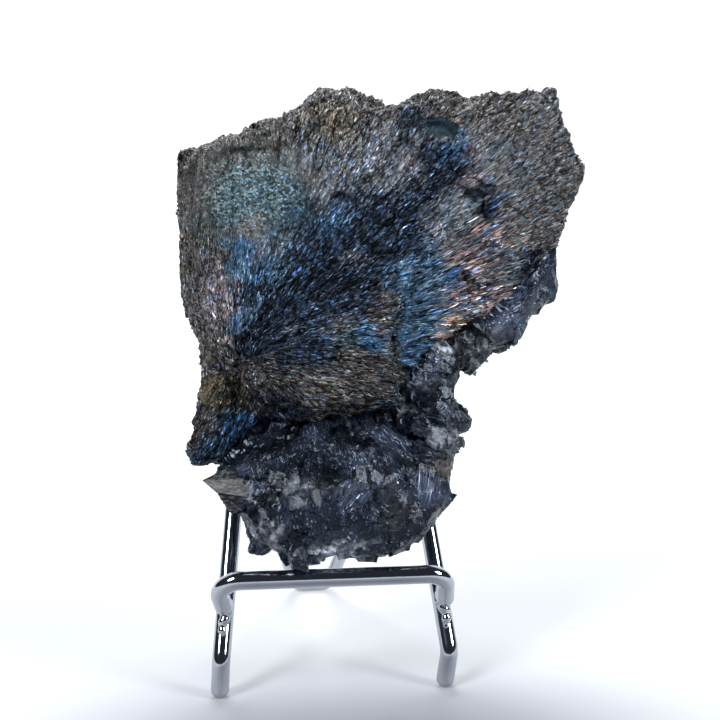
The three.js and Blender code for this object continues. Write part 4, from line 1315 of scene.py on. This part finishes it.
# %% Floor and backdrop
HALF_WIDTH = 3.0
NEAR_EDGE = -1.2
BEND_START = 1.1
BEND_RADIUS = 0.8
CARD_BEND_STEPS = 24
WALL_TOP = 3.2
card = bmesh.new()
profile = [(NEAR_EDGE, 0.0)]
for k in range(CARD_BEND_STEPS + 1):
    a = math.pi / 2 * k / CARD_BEND_STEPS
    profile.append((BEND_START + BEND_RADIUS * math.sin(a), BEND_RADIUS * (1 - math.cos(a))))
profile.append((BEND_START + BEND_RADIUS, WALL_TOP))
rows = [[card.verts.new((x, y, z)) for x in (-HALF_WIDTH, HALF_WIDTH)] for y, z in profile]
for (a, b), (c, d) in zip(rows, rows[1:]):
    card.faces.new((a, b, d, c)).smooth = True
card_mesh = bpy.data.meshes.new("white_card")
card.to_mesh(card_mesh)
card.free()
print("the card has", len(card_mesh.polygons), "faces")

# %% Painted glow and painted shadow of the card
# Painted light: the card's glow grows towards the back, as in a light tent.
PAINTED_GLOW = {"From Min": 0.02, "From Max": 0.4, "To Min": 0.46, "To Max": 1.05}
# Painted shadow: the glow fades out round a place in front of the stand.
PAINTED_SHADOW_MIDDLE = STAND + Vector((0, -45, 0)) * MM
PAINTED_SHADOW_CORE = 0.02
PAINTED_SHADOW_REACH = 0.100
white_card, tree, shader = new_material("white_card", Roughness=0.8)
shader.inputs["Base Color"].default_value = (0.235, 0.247, 0.275, 1)
shader.inputs["Emission Color"].default_value = (0.95, 0.98, 1, 1)
place = object_place(tree)
backwards = add(tree, "ShaderNodeSeparateXYZ", {"Vector": place}).outputs["Y"]
painted_glow = add(tree, "ShaderNodeMapRange", {"Value": backwards, **PAINTED_GLOW}).outputs["Result"]
ends = {0: place, 1: tuple(PAINTED_SHADOW_MIDDLE)}
apart = add(tree, "ShaderNodeVectorMath", ends, operation="DISTANCE").outputs["Value"]
shade = add(
    tree, "ShaderNodeMapRange",
    {"Value": apart, "From Min": PAINTED_SHADOW_CORE, "From Max": PAINTED_SHADOW_REACH, "To Min": 0.0, "To Max": 1.0},
    interpolation_type="SMOOTHERSTEP",
).outputs["Result"]
strength = maths(tree, "MULTIPLY", painted_glow, shade)
tree.links.new(strength, shader.inputs["Emission Strength"])
card_mesh.materials.append(white_card)
backdrop = bpy.data.objects.new("white_card", card_mesh)
scene.collection.objects.link(backdrop)

# %% [markdown]
# ## Lamps
# Two soft lamps stand wide to the left and right and above the camera, so that flat fibres catch
# them only when they are tipped that way, and the straight bar of the stand stays dark on top.
# One behind and above lights the top edge. The room is dark, because bright wire shows it: pale
# undersides from the card and dark tops from the room. Only what is seen past the card is white.


# %% Lamps
def lamp(name, position, target, size, watts):
    data = bpy.data.lights.new(name, "AREA")
    data.shape = "RECTANGLE"
    data.size, data.size_y = size
    data.energy = watts
    thing = bpy.data.objects.new(name, data)
    thing.location = position
    thing.rotation_euler = (Vector(target) - Vector(position)).to_track_quat("-Z", "Y").to_euler()
    scene.collection.objects.link(thing)
    return thing


middle = (cad_low + cad_high) / 2
lamp("left_lamp", (-0.75, -0.65, 0.85), middle, (0.30, 0.45), 18)
lamp("right_lamp", (0.85, -0.6, 0.65), middle, (0.30, 0.45), 14)
lamp("back_lamp", (0.0, 0.55, 1.0), middle, (0.6, 0.4), 14)
print("lamps aim at (mm):", [round(v / MM, 1) for v in middle])

# %% The room
DARK_ROOM = (0.035, 0.04, 0.052)
WHITE = (1, 1, 1)
world = bpy.data.worlds.new("dark_room")
world.use_nodes = True
room = world.node_tree
seen = add(room, "ShaderNodeLightPath").outputs["Is Camera Ray"]
shown = mixed(room, seen, DARK_ROOM, WHITE)
room.links.new(shown, room.nodes["Background"].inputs["Color"])
scene.world = world
scene.view_settings.view_transform = "Standard"
scene.view_settings.look = "None"
